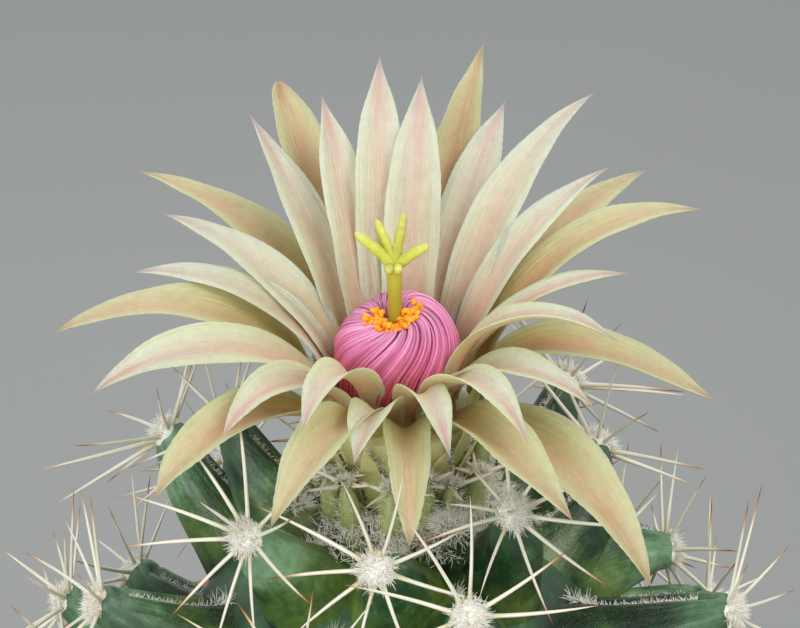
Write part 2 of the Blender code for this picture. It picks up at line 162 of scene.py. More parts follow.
def makePiece(name, part, material, replaced=()):
    # one mesh in metres from corner numbers, with its map, shaded smooth
    mesh = bpy.data.meshes.new(name)
    corners = np.concatenate([part["quads"].ravel(), part["fans"].ravel()]).astype(np.int32)
    sizes = np.concatenate([np.full(len(part["quads"]), 4), np.full(len(part["fans"]), 3)])
    mesh.vertices.add(len(part["points"]))
    mesh.vertices.foreach_set("co", (part["points"] * mm).astype(np.float32).ravel())
    mesh.loops.add(len(corners))
    mesh.loops.foreach_set("vertex_index", corners)
    mesh.polygons.add(len(sizes))
    mesh.polygons.foreach_set("loop_start", (np.cumsum(sizes) - sizes).astype(np.int32))
    mesh.polygons.foreach_set("use_smooth", np.ones(len(sizes), bool))
    layer = mesh.uv_layers.new(name="along")
    layer.data.foreach_set("uv",
                           np.concatenate([part["quadMap"], part["fanMap"]]).astype(np.float32).ravel())
    mesh.update(calc_edges=True)
    mesh.validate()
    mesh.materials.append(material)
    piece = bpy.data.objects.new(name, mesh)
    bpy.context.scene.collection.objects.link(piece)
    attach(piece, "root")
    if replaced:
        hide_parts(*replaced)
    return piece


# tools for materials

def paint(red, green, blue):
    # a colour as a screen shows it, 0 to 255, made linear
    share = np.array([red, green, blue]) / 255
    linear = np.where(share <= 0.04045, share / 12.92, ((share + 0.055) / 1.055) ** 2.4)
    return (*linear.tolist(), 1.0)


def feed(tree, made, values):
    # each socket of a node given its value, or linked to another node's output
    for key, value in values.items():
        if isinstance(value, bpy.types.NodeSocket):
            tree.links.new(value, made.inputs[key])
        else:
            made.inputs[key].default_value = value


def put(tree, kind, values=(), **settings):
    # a new node with its settings and its sockets fed
    made = tree.nodes.new(kind)
    for key, value in settings.items():
        setattr(made, key, value)
    feed(tree, made, dict(values))
    return made


def reckon(tree, operation, *values):
    # one sum on sockets or numbers
    return put(tree, "ShaderNodeMath", dict(enumerate(values)), operation=operation).outputs[0]


def blendColours(tree, factor, first, second, how="MIX"):
    # second laid over first by that factor
    return put(tree, "ShaderNodeMix", {0: factor, 6: first, 7: second}, data_type="RGBA",
               blend_type=how).outputs[2]


def ramp(tree, factor, *stops):
    # a colour ramp through stops of (place, colour or grey)
    made = put(tree, "ShaderNodeValToRGB", {0: factor})
    band = made.color_ramp
    while len(band.elements) < len(stops):
        band.elements.new(0.5)
    for element, (place, colour) in zip(band.elements, stops):
        element.position = place
        element.color = colour if isinstance(colour, tuple) else (colour, colour, colour, 1)
    return made.outputs[0]


def newGroup(name, inputs, outputs):
    # an empty shader group with those sockets; inputs are (name, kind, value), outputs (name, kind)
    group = bpy.data.node_groups.new(name, "ShaderNodeTree")
    for label, kind, value in inputs:
        group.interface.new_socket(name=label, in_out="INPUT", socket_type=kind).default_value = value
    for label, kind in outputs:
        group.interface.new_socket(name=label, in_out="OUTPUT", socket_type=kind)
    return group, group.nodes.new("NodeGroupInput").outputs, group.nodes.new("NodeGroupOutput").inputs


def fineGrainGroup():
    # coarse and fine noise added: a shade about 1 for the colour, and a height for the bump
    group, given, result = newGroup("fineGrain", (
        ("Vector", "NodeSocketVector", (0, 0, 0)), ("Scale", "NodeSocketFloat", 400.0),
        ("Contrast", "NodeSocketFloat", 0.2)),
        (("Shade", "NodeSocketFloat"), ("Height", "NodeSocketFloat")))
    coarse = put(group, "ShaderNodeTexNoise", {"Vector": given["Vector"], "Scale": given["Scale"],
                                               "Detail": 3.0})
    finer = reckon(group, "MULTIPLY", given["Scale"], 4.3)
    fine = put(group, "ShaderNodeTexNoise", {"Vector": given["Vector"], "Scale": finer, "Detail": 2.0})
    both = reckon(group, "MULTIPLY_ADD", fine.outputs[0], 0.4, coarse.outputs[0])
    swing = reckon(group, "MULTIPLY", reckon(group, "SUBTRACT", both, 0.7), given["Contrast"])
    group.links.new(reckon(group, "MULTIPLY_ADD", swing, 2.0, 1.0), result["Shade"])
    group.links.new(both, result["Height"])
    return group


def streaksGroup():
    # noise drawn out along the map's v: lines that run lengthways, about Count of them across
    group, given, result = newGroup("streaks", (
        ("Map", "NodeSocketVector", (0, 0, 0)), ("Count", "NodeSocketFloat", 12.0),
        ("Along", "NodeSocketFloat", 1.5), ("Vary", "NodeSocketFloat", 0.0)),
        (("Value", "NodeSocketFloat"),))
    part = put(group, "ShaderNodeSeparateXYZ", {0: given["Map"]}).outputs
    spread = put(group, "ShaderNodeCombineXYZ", {0: reckon(group, "MULTIPLY", part[0], given["Count"]),
                                                 1: reckon(group, "MULTIPLY", part[1], given["Along"]),
                                                 2: given["Vary"]})
    lines = put(group, "ShaderNodeTexNoise", {"Vector": spread.outputs[0], "Scale": 1.0, "Detail": 3.0})
    group.links.new(lines.outputs[0], result["Value"])
    return group


def eachStrandGroup():
    # one chance value for each tube, from the whole number in its map's u
    group, given, result = newGroup("eachStrand", (
        ("Map", "NodeSocketVector", (0, 0, 0)),), (("Value", "NodeSocketFloat"),))
    part = put(group, "ShaderNodeSeparateXYZ", {0: given["Map"]}).outputs
    number = reckon(group, "FLOOR", part[0])
    found = put(group, "ShaderNodeTexWhiteNoise", {"W": number}, noise_dimensions="1D")
    group.links.new(found.outputs[0], result["Value"])
    return group


fineGrain = fineGrainGroup()
streaks = streaksGroup()
eachStrand = eachStrandGroup()


def useGroup(tree, group, values):
    # a group node fed with those values; gives its outputs
    made = tree.nodes.new("ShaderNodeGroup")
    made.node_tree = group
    feed(tree, made, values)
    return made.outputs


def separate(tree, vector):
    # the three parts of a vector
    return put(tree, "ShaderNodeSeparateXYZ", {0: vector}).outputs


def grained(tree, place, colour, scale, contrast):
    # the colour shaded by fine grain, and the grain's height for the bump
    grain = useGroup(tree, fineGrain, {"Vector": place, "Scale": scale, "Contrast": contrast})
    return blendColours(tree, 1.0, colour, grain["Shade"], "MULTIPLY"), grain["Height"]


def newMaterial(name, **fixed):
    # a material with its Principled shader's fixed values, with its tree, shader, place and map
    material = bpy.data.materials.new(name)
    material.use_nodes = True
    tree = material.node_tree
    shader = tree.nodes["Principled BSDF"]
    for key, value in fixed.items():
        shader.inputs[key.replace("_", " ")].default_value = value
    place = put(tree, "ShaderNodeTexCoord").outputs["Object"]
    mapped = put(tree, "ShaderNodeUVMap", uv_map="along").outputs[0]
    return material, tree, shader, place, mapped


def finishMaterial(tree, shader, colour, roughness, height, strength, distance):
    # colour, roughness and a bump of that height, its distance in millimetres
    feed(tree, shader, {"Base Color": colour, "Roughness": roughness})
    bump = put(tree, "ShaderNodeBump", {"Height": height, "Strength": strength,
                                        "Distance": distance * mm})
    tree.links.new(bump.outputs[0], shader.inputs["Normal"])


def tepalMaterial(name, look):
    # colour runs from root to tip; a blushed stripe down the middle, broken into streaks; pale margins
    material, tree, shader, place, mapped = newMaterial(
        name, Subsurface_Weight=look["glow"], Subsurface_Radius=(1.0, 0.75, 0.5), Subsurface_Scale=0.002)
    part = separate(tree, mapped)
    vary = put(tree, "ShaderNodeTexNoise", {"Vector": place, "Scale": 60.0, "Detail": 2.0}).outputs[0]
    shift = reckon(tree, "MULTIPLY", vary, 9.0)
    lines = useGroup(tree, streaks, {"Map": mapped, "Count": 26.0, "Along": 1.6, "Vary": shift})[0]
    bands = useGroup(tree, streaks, {"Map": mapped, "Count": 6.5, "Along": 1.1, "Vary": shift})[0]
    off = reckon(tree, "ABSOLUTE", reckon(tree, "SUBTRACT", part[0], 0.5))
    swing = reckon(tree, "SUBTRACT", bands, 0.5)
    broken = reckon(tree, "MULTIPLY_ADD", swing, -0.55, off)
    stripe = ramp(tree, broken, (look["stripe"][0], 1.0), (look["stripe"][1], 0.0))
    along = reckon(tree, "MULTIPLY_ADD", swing, 0.16, part[1])
    body = ramp(tree, along, *look["body"])
    margin = ramp(tree, reckon(tree, "MULTIPLY_ADD", reckon(tree, "SUBTRACT", lines, 0.5), 0.12, off),
                  (0.28, 0.0), (0.46, 1.0))
    body = blendColours(tree, reckon(tree, "MULTIPLY", margin, look["marginShare"]), body, look["margin"])
    reach = ramp(tree, along, *look["blushReach"])
    blush = reckon(tree, "MULTIPLY", stripe, reach)
    patchy = ramp(tree, vary, (0.34, 0.5), (0.62, 1.0))
    blush = reckon(tree, "MULTIPLY", blush, patchy)
    colour = blendColours(tree, reckon(tree, "MULTIPLY", blush, look["blushShare"]), body, look["blush"])
    veins = reckon(tree, "MULTIPLY_ADD", lines, 0.26, 0.87)
    colour = blendColours(tree, 1.0, colour, veins, "MULTIPLY")
    colour, relief = grained(tree, place, colour, 1100.0, 0.14)
    height = reckon(tree, "MULTIPLY_ADD", lines, 1.8, reckon(tree, "MULTIPLY", relief, 0.5))
    height = reckon(tree, "MULTIPLY_ADD", bands, 1.5, height)
    finishMaterial(tree, shader, colour, 0.5, height, 0.55, 0.14)
    return material


innerLook = {
    "glow": 0.5, "stripe": (0.0, 0.45), "marginShare": 0.8, "margin": paint(214, 220, 186),
    "body": ((0.0, paint(196, 154, 90)), (0.14, paint(206, 180, 134)), (0.42, paint(210, 204, 168)),
             (0.75, paint(214, 216, 190)), (0.93, paint(214, 200, 184)), (1.0, paint(208, 152, 162))),
    "blushReach": ((0.02, 0.55), (0.3, 0.85), (0.7, 0.75), (0.96, 1.0)),
    "blush": paint(212, 152, 150), "blushShare": 0.64}
outerLook = {
    "glow": 0.45, "stripe": (0.0, 0.42), "marginShare": 0.7, "margin": paint(206, 206, 148),
    "body": ((0.0, paint(150, 142, 66)), (0.25, paint(184, 176, 116)), (0.6, paint(202, 194, 148)),
             (0.9, paint(204, 194, 152)), (1.0, paint(188, 146, 110))),
    "blushReach": ((0.0, 0.4), (0.35, 0.9), (0.7, 0.8), (1.0, 0.3)),
    "blush": paint(204, 138, 110), "blushShare": 0.75}
frontLook = dict(innerLook, stripe=(0.0, 0.34), blush=paint(220, 136, 130), blushShare=0.8,
                 margin=paint(214, 216, 158))
frontSkin = tepalMaterial("tepalFront", frontLook)
innerSkin = tepalMaterial("tepalInner", innerLook)
outerSkin = tepalMaterial("tepalOuter", outerLook)


# tepals

tepals = {
    "rows": 150, "around": 32, "thickness": 0.36, "channel": 0.40, "frontChannel": 0.38,
    "root": 0.55, "widest": 0.5,                # width at the root, and where along it is widest
    "innerPoint": (4.4, 1.4), "outerPoint": (4.2, 1.2),     # the powers that shape the tip
    "drawnPoint": (7.0, 1.8), "drawnFrom": 60, "drawnTo": 120,    # the back's tips are drawn out
    "bluntPoint": (7.0, 0.7), "bluntOne": 10,   # one outer tip is blunt
    "innerTeeth": 0.05, "outerTeeth": 0.08, "waves": 0.07,
    "outerNumber": 20,                          # the outer ones' numbers shift their teeth and waves
    "seatRadius": 5.2, "seatDrop": 9.0, "ringSpacing": 0.9, "foot": 0.55}
# each one's azimuth (0 = +X, -90 = front), length, width, slope at the root and at the tip,
# ring at the root, sideways turn of the tip, arch (more or less slope halfway) and roll about its line;
# angles in degrees
innerTepals = (
    (-163, 30.8, 6.0, 61, -38, 0, -1, 0, -24), (-141, 21.0, 5.2, 72, -45, 1, 13, 0, -12),
    (-119, 22.5, 4.7, 84, -40, 0, 15, 0, -4), (-99, 18.7, 5.2, 63, -33, 1, -7, 0, 6),
    (-78, 21.0, 4.6, 74, -42, 0, 5, 0, -4), (-60, 24.1, 4.7, 79, -42, 1, 2, 0, 4),
    (-43, 24.8, 5.0, 73, -27, 0, 7, -3, 8), (-26, 27.1, 4.5, 99, -27, 1, -3, -3, 4),
    (-3, 25.7, 4.5, 80, 2, 0, -3, -1, 6), (26, 29.6, 5.2, 79, 20, 1, -2, 2, 8),
    (45, 35.3, 5.8, 78, 17, 2, -7, 7, 8), (62, 31.3, 5.7, 73, 33, 1, 4, -1, 8),
    (82, 31.9, 5.9, 76, 55, 0, 1, -2, 5), (98, 33.6, 5.8, 74, 53, 1, -11, 2, 5),
    (114, 30.6, 5.5, 73, 49, 0, -5, -1, 8), (127, 31.2, 5.7, 74, 33, 1, -3, -6, 8),
    (153, 28.6, 5.4, 71, 2, 0, -4, -2, -10), (166, 27.8, 5.2, 81, -15, 1, -3, -8, -10))
outerTepals = (
    (177, 32.0, 7.0, 76, -28, 3, 5, -12, -8), (-143, 24.6, 6.8, 46, -55, 3, -3, 0, -10),
    (-110, 25.2, 6.2, 58, -45, 2, -20, -11, 0), (-86, 21.0, 4.9, 55, -87, 2, -5, 0, 0),
    (-62, 25.8, 6.8, 52, -34, 2, 24, -14, 0), (-47, 31.6, 7.4, 37, -59, 3, 9, -7, 8),
    (-14, 30.2, 7.0, 92, -27, 3, 7, -34, 8), (14, 33.2, 6.2, 80, -5, 3, -13, 3, 10),
    (42, 33.0, 5.8, 62, -2, 4, 7, -2, 6), (74, 34.6, 6.4, 66, 54, 4, -13, -4, 6),
    (116, 32.5, 6.0, 69, 32, 4, -4, -1, 6), (132, 34.8, 6.4, 71, 2, 3, 17, -14, 0))


def tepalHalf(along, width, point):
    # from a narrower root to the widest place in a quarter wave, times (1 - s^p)^q towards the tip
    climb = np.pi / 2 * np.clip(along / tepals["widest"], 0, 1)
    rise = tepals["root"] + (1 - tepals["root"]) * np.sin(climb)
    return width / 2 * rise * (1 - along ** point[0]) ** point[1]


def tepalPart(spec, number, teeth, point):
    # a thin lens carried along an arch; its slope goes evenly from root to tip plus a half wave;
    # the lens is channelled, its margins wave and carry small teeth;
    # a point is line + side * sideways + normal * lift
    azimuth, length, width, rootSlope, tipSlope, ring, bend, arch, roll = spec
    along = np.linspace(0, 1, tepals["rows"]) ** 0.94
    slope = np.radians(rootSlope + (tipSlope - rootSlope) * along + arch * np.sin(np.pi * along))
    turn = np.radians(azimuth) + np.radians(bend) * along ** 2
    heading = polar(np.cos(slope), turn, np.sin(slope))
    steps = np.diff(along)[:, None] * (heading[1:] + heading[:-1]) / 2 * length
    start = tepals["seatRadius"] + ring * tepals["ringSpacing"]
    root = polar(start, turn[0], flowerLevel - tepals["seatDrop"] + tepals["foot"])
    line = root + np.vstack([np.zeros(3), np.cumsum(steps, axis=0)])
    side = np.stack([-np.sin(turn), np.cos(turn), np.zeros_like(turn)], axis=-1)
    normal = np.cross(heading, side)
    twist = np.radians(roll) * smooth(0.1, 0.6, along)[:, None]
    rolled = side * np.cos(twist) + normal * np.sin(twist)
    normal = normal * np.cos(twist) - side * np.sin(twist)
    angle = np.arange(tepals["around"] + 1) / tepals["around"] * 2 * np.pi
    across = np.cos(angle)
    edge = np.abs(across) ** 6
    half = tepalHalf(along, width, point)[:, None]
    phase = number * 1.7 + np.where(across > 0, 0.0, 2.1)
    place = along[:, None]
    reach = place * length
    tooth = np.maximum(0, np.sin(reach * 6.3 + phase + 1.6 * np.sin(reach * 0.9 + phase)))
    uneven = 0.4 + 0.6 * np.sin(reach * 0.37 + phase) ** 2
    notch = teeth * edge * (tooth * uneven + 0.7 * np.sin(reach * 1.1 + 2 * phase))
    wave = tepals["waves"] * edge * np.sin(place * 8 + phase) + 0.03 * np.sin(place * 17 + phase)
    ribs = (0.05 * np.cos(across * 9.4) + 0.016 * np.cos(across * 27 + number)) * (1 - edge)
    sideways = (half - notch * np.minimum(half, 1.0)) * across
    fold = np.sqrt(across ** 2 + 0.02) - 0.35
    depth = tepals["channel"] + tepals["frontChannel"] * max(0.0, -math.sin(turn[0]))
    channel = depth * half * fold * smooth(-0.1, 0.25, place)
    thick = tepals["thickness"] / 2 * np.sin(angle) * np.minimum(1, half / 0.7)
    lift = channel + wave * half + thick + ribs * np.minimum(half, 1)
    rings = line[:, None] + rolled[:, None] * sideways[..., None] + normal[:, None] * lift[..., None]
    return closedTubes(rings[None, :, :-1], across=(across + 1) / 2)


for number, spec in enumerate(innerTepals):
    name = f"inner_tepal_{number + 1:02d}"
    drawn = tepals["drawnFrom"] < spec[0] < tepals["drawnTo"]
    point = tepals["drawnPoint" if drawn else "innerPoint"]
    part = tepalPart(spec, number, tepals["innerTeeth"], point)
    makePiece(f"petal_{name}", part, frontSkin if spec[0] < 0 else innerSkin, [name])
for number, spec in enumerate(outerTepals):
    name = f"outer_tepal_{number + 1:02d}"
    point = tepals["bluntPoint" if number == tepals["bluntOne"] else "outerPoint"]
    part = tepalPart(spec, number + tepals["outerNumber"], tepals["outerTeeth"], point)
    makePiece(f"petal_{name}", part, outerSkin, [name])
print("tepals done")


# floral tube

def tubeMaterial():
    # green below to straw above, with fine lines lengthways
    material, tree, shader, place, mapped = newMaterial(
        "tubeSkin", Subsurface_Weight=0.15, Subsurface_Radius=(1.0, 0.8, 0.3), Subsurface_Scale=0.0015)
    part = separate(tree, mapped)
    lines = useGroup(tree, streaks, {"Map": mapped, "Count": 60.0, "Along": 2.0, "Vary": 0.0})[0]
    colour = ramp(tree, reckon(tree, "MULTIPLY_ADD", lines, 0.4, part[1]),
                  (0.1, paint(128, 146, 74)), (0.5, paint(188, 188, 112)), (0.9, paint(220, 214, 150)))
    colour, relief = grained(tree, place, colour, 700.0, 0.15)
    height = reckon(tree, "ADD", lines, reckon(tree, "MULTIPLY", relief, 0.4))
    finishMaterial(tree, shader, colour, 0.5, height, 0.5, 0.15)
    return material


tube = {"ribs": 13, "ribDepth": 0.35, "rows": 50, "around": 156, "foot": 8.0, "footRadius": 4.6,
        "topRadius": 8.4}
tubeFoot = tubeLow.z / mm - tube["foot"]
tubeTop = tubeHigh.z / mm


def tubeRadius(height):
    # grows from the foot's radius to the top's with the share of the height to the power 1.4
    share = np.clip((height - tubeFoot) / (tubeTop - tubeFoot), 0, 1)
    return tube["footRadius"] + (tube["topRadius"] - tube["footRadius"]) * share ** 1.4


def tubePart():
    # a flared tube with rounded ribs: its radius less a rib's depth times 1 - |cos|^3 round it
    angle = roundAngles(tube["around"])
    height = np.linspace(tubeFoot, tubeTop, tube["rows"])[:, None]
    rib = 1 - np.abs(np.cos(angle * tube["ribs"] / 2)) ** 3
    radius = tubeRadius(height) - tube["ribDepth"] * rib
    return closedTubes(polar(radius, angle, height)[None])


bracts = {"count": 44, "length": 7.5, "width": 2.6, "thickness": 0.34, "fromTop": 3.5, "around": 16,
          "hairs": 44, "hairRadius": 0.035}


def bractParts():
    # scales set round the tube by the golden angle, each a thin lens that wraps the tube and leaves it
    # at the tip by the cube of its length; hairs like a comb stand along both margins
    count = bracts["count"]
    order = np.arange(count)[:, None]
    turn = order * np.radians(137.5)
    foot = tubeFoot + 1 + (tubeTop - tubeFoot - bracts["fromTop"]) * (order + 0.5) / count
    share = np.linspace(0, 1, 22)[None]
    length = bracts["length"] * chance.uniform(0.8, 1.1, (count, 1))
    height = foot + length * share * 0.96
    outward = polar(1, turn, 0)
    side = np.stack([-np.sin(turn), np.cos(turn), 0 * turn], axis=-1)
    radius = tubeRadius(height) + 0.12 + 0.4 * share + 0.8 * share ** 3
    line = outward * radius[..., None] + axisUp * height[..., None]
    half = bracts["width"] / 2 * (0.7 + 0.3 * np.sin(np.pi * share)) * (1 - share ** 2.6) + 0 * foot
    angle = roundAngles(bracts["around"])
    wide = half[..., None]
    sideways = wide * np.cos(angle)
    lift = bracts["thickness"] / 2 * np.sin(angle) * np.minimum(1, half / 0.4)[..., None]
    lift = lift + 0.12 * wide * np.cos(angle * 2) - 0.22 * sideways ** 2 / (wide + 0.3)
    rings = (line[:, :, None] + side[:, :, None] * sideways[..., None]
             + outward[:, :, None] * lift[..., None])
    place = chance.integers(2, 21, (count, bracts["hairs"]))
    sign = chance.choice([-1.0, 1.0], (count, bracts["hairs"]))[..., None]
    which = np.arange(count)[:, None]
    roots = line[which, place] + side * sign * half[which, place][..., None] * 0.96
    aims = side * sign + axisUp * 0.5 + outward * 0.3 + chance.normal(0, 0.2, roots.shape)
    lengths = chance.uniform(0.4, 0.9, count * bracts["hairs"])
    hairs = fibres(roots.reshape(-1, 3), unit(aims.reshape(-1, 3)), lengths, bracts["hairRadius"])
    across = (np.cos(np.linspace(0, 2 * np.pi, bracts["around"] + 1)) + 1) / 2
    return closedTubes(rings, across), hairs


tubeSkin = tubeMaterial()
makePiece("ribbed_tube", tubePart(), tubeSkin, ["floral_tube"])
print("floral tube done")


# filaments

def filamentMaterial(name, low, mid, high):
    # three colours from foot to tip, each strand a little lighter or darker and shifted along
    material, tree, shader, place, mapped = newMaterial(
        name, Subsurface_Weight=0.12, Subsurface_Radius=(1.0, 0.4, 0.6), Subsurface_Scale=0.0008)
    part = separate(tree, mapped)
    each = useGroup(tree, eachStrand, {"Map": mapped})[0]
    along = reckon(tree, "MULTIPLY_ADD", reckon(tree, "SUBTRACT", each, 0.5), 0.25, part[1])
    colour = ramp(tree, along, (0.22, low), (0.5, mid), (0.85, high))
    grain = useGroup(tree, fineGrain, {"Vector": place, "Scale": 1200.0, "Contrast": 0.10})
    shade = reckon(tree, "MULTIPLY_ADD", reckon(tree, "SUBTRACT", each, 0.5), 0.44, grain["Shade"])
    colour = blendColours(tree, 1.0, colour, shade, "MULTIPLY")
    finishMaterial(tree, shader, colour, 0.34, grain["Height"], 0.2, 0.05)
    return material


filaments = {"count": 176, "rows": 40, "around": 8, "width": 0.34, "swirl": 84, "bulge": 6.1,
             "equator": -2.6, "above": 4.4, "below": 6.6, "mouthRadius": 2.25, "tilt": 1.0,
             "tiltTurn": 62, "clumps": 23, "innerCount": 90, "oval": 1.25, "leftward": 0.25}


def filamentPaths(count, inward, jitter):
    # up an egg-shaped dome from below its widest place and over into the mouth while the azimuth turns:
    # radius = mouth + (bulge - mouth) cos(a), height = equator + above or below * sin(a), then a dip;
    # strands draw together in clumps, and each clump stands a little in or out
    share = np.linspace(0, 1, filaments["rows"])
    start = (np.arange(count) + chance.uniform(-jitter, jitter, count)) / count * 2 * np.pi
    wave = filaments["clumps"] * start + 1.7 * np.sin(start * 3) + 1.1 * np.sin(start * 5 + 2)
    start = start + 0.55 / filaments["clumps"] * np.sin(wave)
    stand = 0.10 * np.cos(wave) + chance.normal(0, 0.05, count)
    mouth = filaments["mouthRadius"] - inward * 0.3 + chance.normal(0, 0.2, count)
    bulge = filaments["bulge"] - inward * 0.35 + stand
    above = filaments["above"] - inward * 0.4 + stand + chance.normal(0, 0.08, count)
    climb = np.radians(-66 + 156 * np.clip(share / 0.86, 0, 1))
    radius = mouth[:, None] + (bulge - mouth)[:, None] * np.cos(climb) ** 0.9
    rise = np.where(climb < 0, filaments["below"], above[:, None]) * np.sin(climb)
    dip = smooth(0.84, 1.0, share)
    radius = radius - dip * 0.9
    swirl = filaments["swirl"] + 12 * np.sin(start + 2.2) + chance.normal(0, 3, count)
    turn = start[:, None] + np.radians(swirl)[:, None] * share ** 1.5
    lean = filaments["tilt"] * np.cos(turn - np.radians(filaments["tiltTurn"])) * smooth(0.3, 0.8, share)
    height = filaments["equator"] + rise - dip * 1.3 + lean
    shift = -filaments["leftward"] * smooth(0.4, 0.9, share)
    return np.stack([radius * np.cos(turn) + shift, radius * np.sin(turn), height + flowerLevel], axis=-1)


outerPaths = filamentPaths(filaments["count"], 0.0, 0.35)
innerPaths = filamentPaths(filaments["innerCount"], 1.0, 0.4)
taper = np.interp(np.linspace(0, 1, filaments["rows"]), [0, 0.4, 0.8, 1], [0.8, 1.0, 0.62, 0.35])
thickness = filaments["width"] / 2 * taper
bundles = []
for paths in (outerPaths, innerPaths):
    outward = unit(paths * [1, 1, 0])
    bundles.append(strands(paths, np.tile(thickness, (len(paths), 1)), filaments["around"], outward,
                           filaments["oval"]))
filamentPink = filamentMaterial("filamentPink", paint(206, 92, 100), paint(222, 112, 160),
                                paint(240, 164, 206))
makePiece("filament_swirl", joined(bundles), filamentPink, ["filaments"])


def domePart():
    # painted shade: a dark bed under the strands, the same dome 0.7 mm inside them, seen as shade through
    # their gaps
    climb = np.radians(np.linspace(-75, 88, 30))[:, None]
    angle = roundAngles(64)
    radius = 1.6 + (filaments["bulge"] - 2.4) * np.cos(climb) + 0 * angle
    rise = np.where(climb < 0, filaments["below"], filaments["above"] - 1.0) * np.sin(climb)
    away = np.cos(angle - np.radians(filaments["tiltTurn"]))
    lean = filaments["tilt"] * away * smooth(-0.2, 1.0, climb)
    height = flowerLevel + filaments["equator"] + rise + lean
    return closedTubes(polar(radius, angle, height)[None])


# painted shade: dark pinks for the bed that fills the gaps between the strands
filamentShadeSkin = filamentMaterial("filamentShade", paint(120, 40, 70), paint(150, 52, 96),
                                paint(160, 60, 90))
makePiece("filament_shade_bed", domePart(), filamentShadeSkin)
print("filaments done")


# anthers, style and stigma

def plainMaterial(name, stops, scale, contrast, roughness, strength, distance, **fixed):
    # colour along the map's v, shaded by grain and by one chance value for each strand
    material, tree, shader, place, mapped = newMaterial(name, **fixed)
    part = separate(tree, mapped)
    each = useGroup(tree, eachStrand, {"Map": mapped})[0]
    colour = ramp(tree, part[1], *stops)
    grain = useGroup(tree, fineGrain, {"Vector": place, "Scale": scale, "Contrast": contrast})
    shade = reckon(tree, "MULTIPLY_ADD", reckon(tree, "SUBTRACT", each, 0.5), 0.2, grain["Shade"])
    colour = blendColours(tree, 1.0, colour, shade, "MULTIPLY")
    finishMaterial(tree, shader, colour, roughness, grain["Height"], strength, distance)
    return material


# spread is the range of azimuths, in degrees
anthers = {"count": 130, "length": 0.82, "radius": 0.30, "ring": 1.75, "lift": 1.85, "spread": (-200, 8)}


def antherPart():
    # egg-shaped grains with a waist: radius = sqrt(1 - x^2) times the waist along a short line,
    # laid about the dome's mouth in front
    count = anthers["count"]
    turn = np.radians(chance.uniform(*anthers["spread"], count))
    reach = np.abs(anthers["ring"] + chance.normal(0, 0.5, count))
    lift = anthers["lift"] + 0.25 * (reach - anthers["ring"]) + chance.normal(0, 0.24, count)
    lift = lift + filaments["tilt"] * np.cos(turn - np.radians(filaments["tiltTurn"]))
    middle = np.stack([reach * np.cos(turn) - filaments["leftward"], reach * np.sin(turn),
                       flowerLevel + lift], axis=-1)
    aim = unit(np.stack([chance.normal(0, 1, count), chance.normal(0, 1, count),
                         chance.normal(0, 0.5, count)], axis=-1))
    share = np.linspace(-1, 1, 9)
    size = chance.uniform(0.8, 1.15, count)
    half = share[:, None] * anthers["length"] / 2
    paths = middle[:, None] + aim[:, None] * half * size[:, None, None]
    waist = 1 - 0.25 * np.exp(-(share / 0.25) ** 2)
    radii = anthers["radius"] * np.sqrt(np.clip(1 - share ** 2, 0.02, 1)) * waist
    return strands(paths, np.tile(radii, (count, 1)) * size[:, None], 8, np.array([0.3, 0.2, 1.0]))


pistil = {"styleRadius": 0.68, "styleFoot": -8.0, "styleTop": 7.0, "lean": -0.28, "lobeRadius": 0.56}
# each lobe's azimuth, length and rise
stigmaLobes = ((4, 4.7, 31), (70, 6.2, 55), (122, 5.8, 47), (172, 5.9, 38), (240, 1.9, 24),
               (296, 1.8, 30))


def stylePart():
    # a round column that widens a little upwards and leans slightly to the left
    share = np.linspace(0, 1, 30)
    height = pistil["styleFoot"] + (pistil["styleTop"] - pistil["styleFoot"]) * share
    path = np.stack([pistil["lean"] * share, 0 * share, flowerLevel + height], axis=-1)
    radii = pistil["styleRadius"] * (1 + 0.12 * share ** 2 + 0.12 * smooth(0.9, 1.0, share))
    return strands(path[None], radii[None], 20, np.array([1.0, 0, 0]))


def lobeParts():
    # each lobe rises inside the style, bends outwards by the square of what is left, and ends blunt
    share = np.linspace(0, 1, 26)
    parts = []
    for number, (azimuth, length, rise) in enumerate(stigmaLobes):
        turn = math.radians(azimuth)
        slope = np.radians(rise + (80 - rise) * (1 - share) ** 4)
        steps = polar(np.cos(slope), turn, np.sin(slope))
        path = np.cumsum(steps, axis=0) * length / len(share)
        path = path + [pistil["lean"], 0, flowerLevel + pistil["styleTop"] - 0.8]
        taper = (1.08 - 0.14 * share) * (1 + 0.05 * np.sin(share * 21 + number))
        radii = pistil["lobeRadius"] * taper * np.sqrt(np.clip(1 - (share * 1.01) ** 10, 0.01, 1))
        parts.append(strands(path[None], radii[None], 14, axisUp + [0.01, 0.02, 0], 0.9))
    return parts


antherGold = plainMaterial("antherGold", ((0.0, paint(255, 150, 20)), (0.5, paint(255, 190, 36)),
                                          (1.0, paint(255, 146, 24))),
                           2500.0, 0.25, 0.5, 0.5, 0.06)
styleOlive = plainMaterial("styleOlive", ((0.4, paint(146, 128, 30)), (0.75, paint(172, 156, 42)),
                                          (1.0, paint(196, 186, 64))),
                           800.0, 0.12, 0.42, 0.3, 0.06, Subsurface_Weight=0.15, Subsurface_Scale=0.0008)
stigmaLime = plainMaterial("stigmaLime", ((0.0, paint(186, 184, 60)), (0.6, paint(200, 202, 78)),
                                          (1.0, paint(214, 216, 110))),
                           1500.0, 0.3, 0.55, 0.6, 0.1, Subsurface_Weight=0.15, Subsurface_Scale=0.0008)
makePiece("anther_grains", antherPart(), antherGold, ["anthers"])
makePiece("style", stylePart(), styleOlive, ["pistil"])
makePiece("stigma_lobes", joined(lobeParts()), stigmaLime)
print("flower's middle done")


# stem

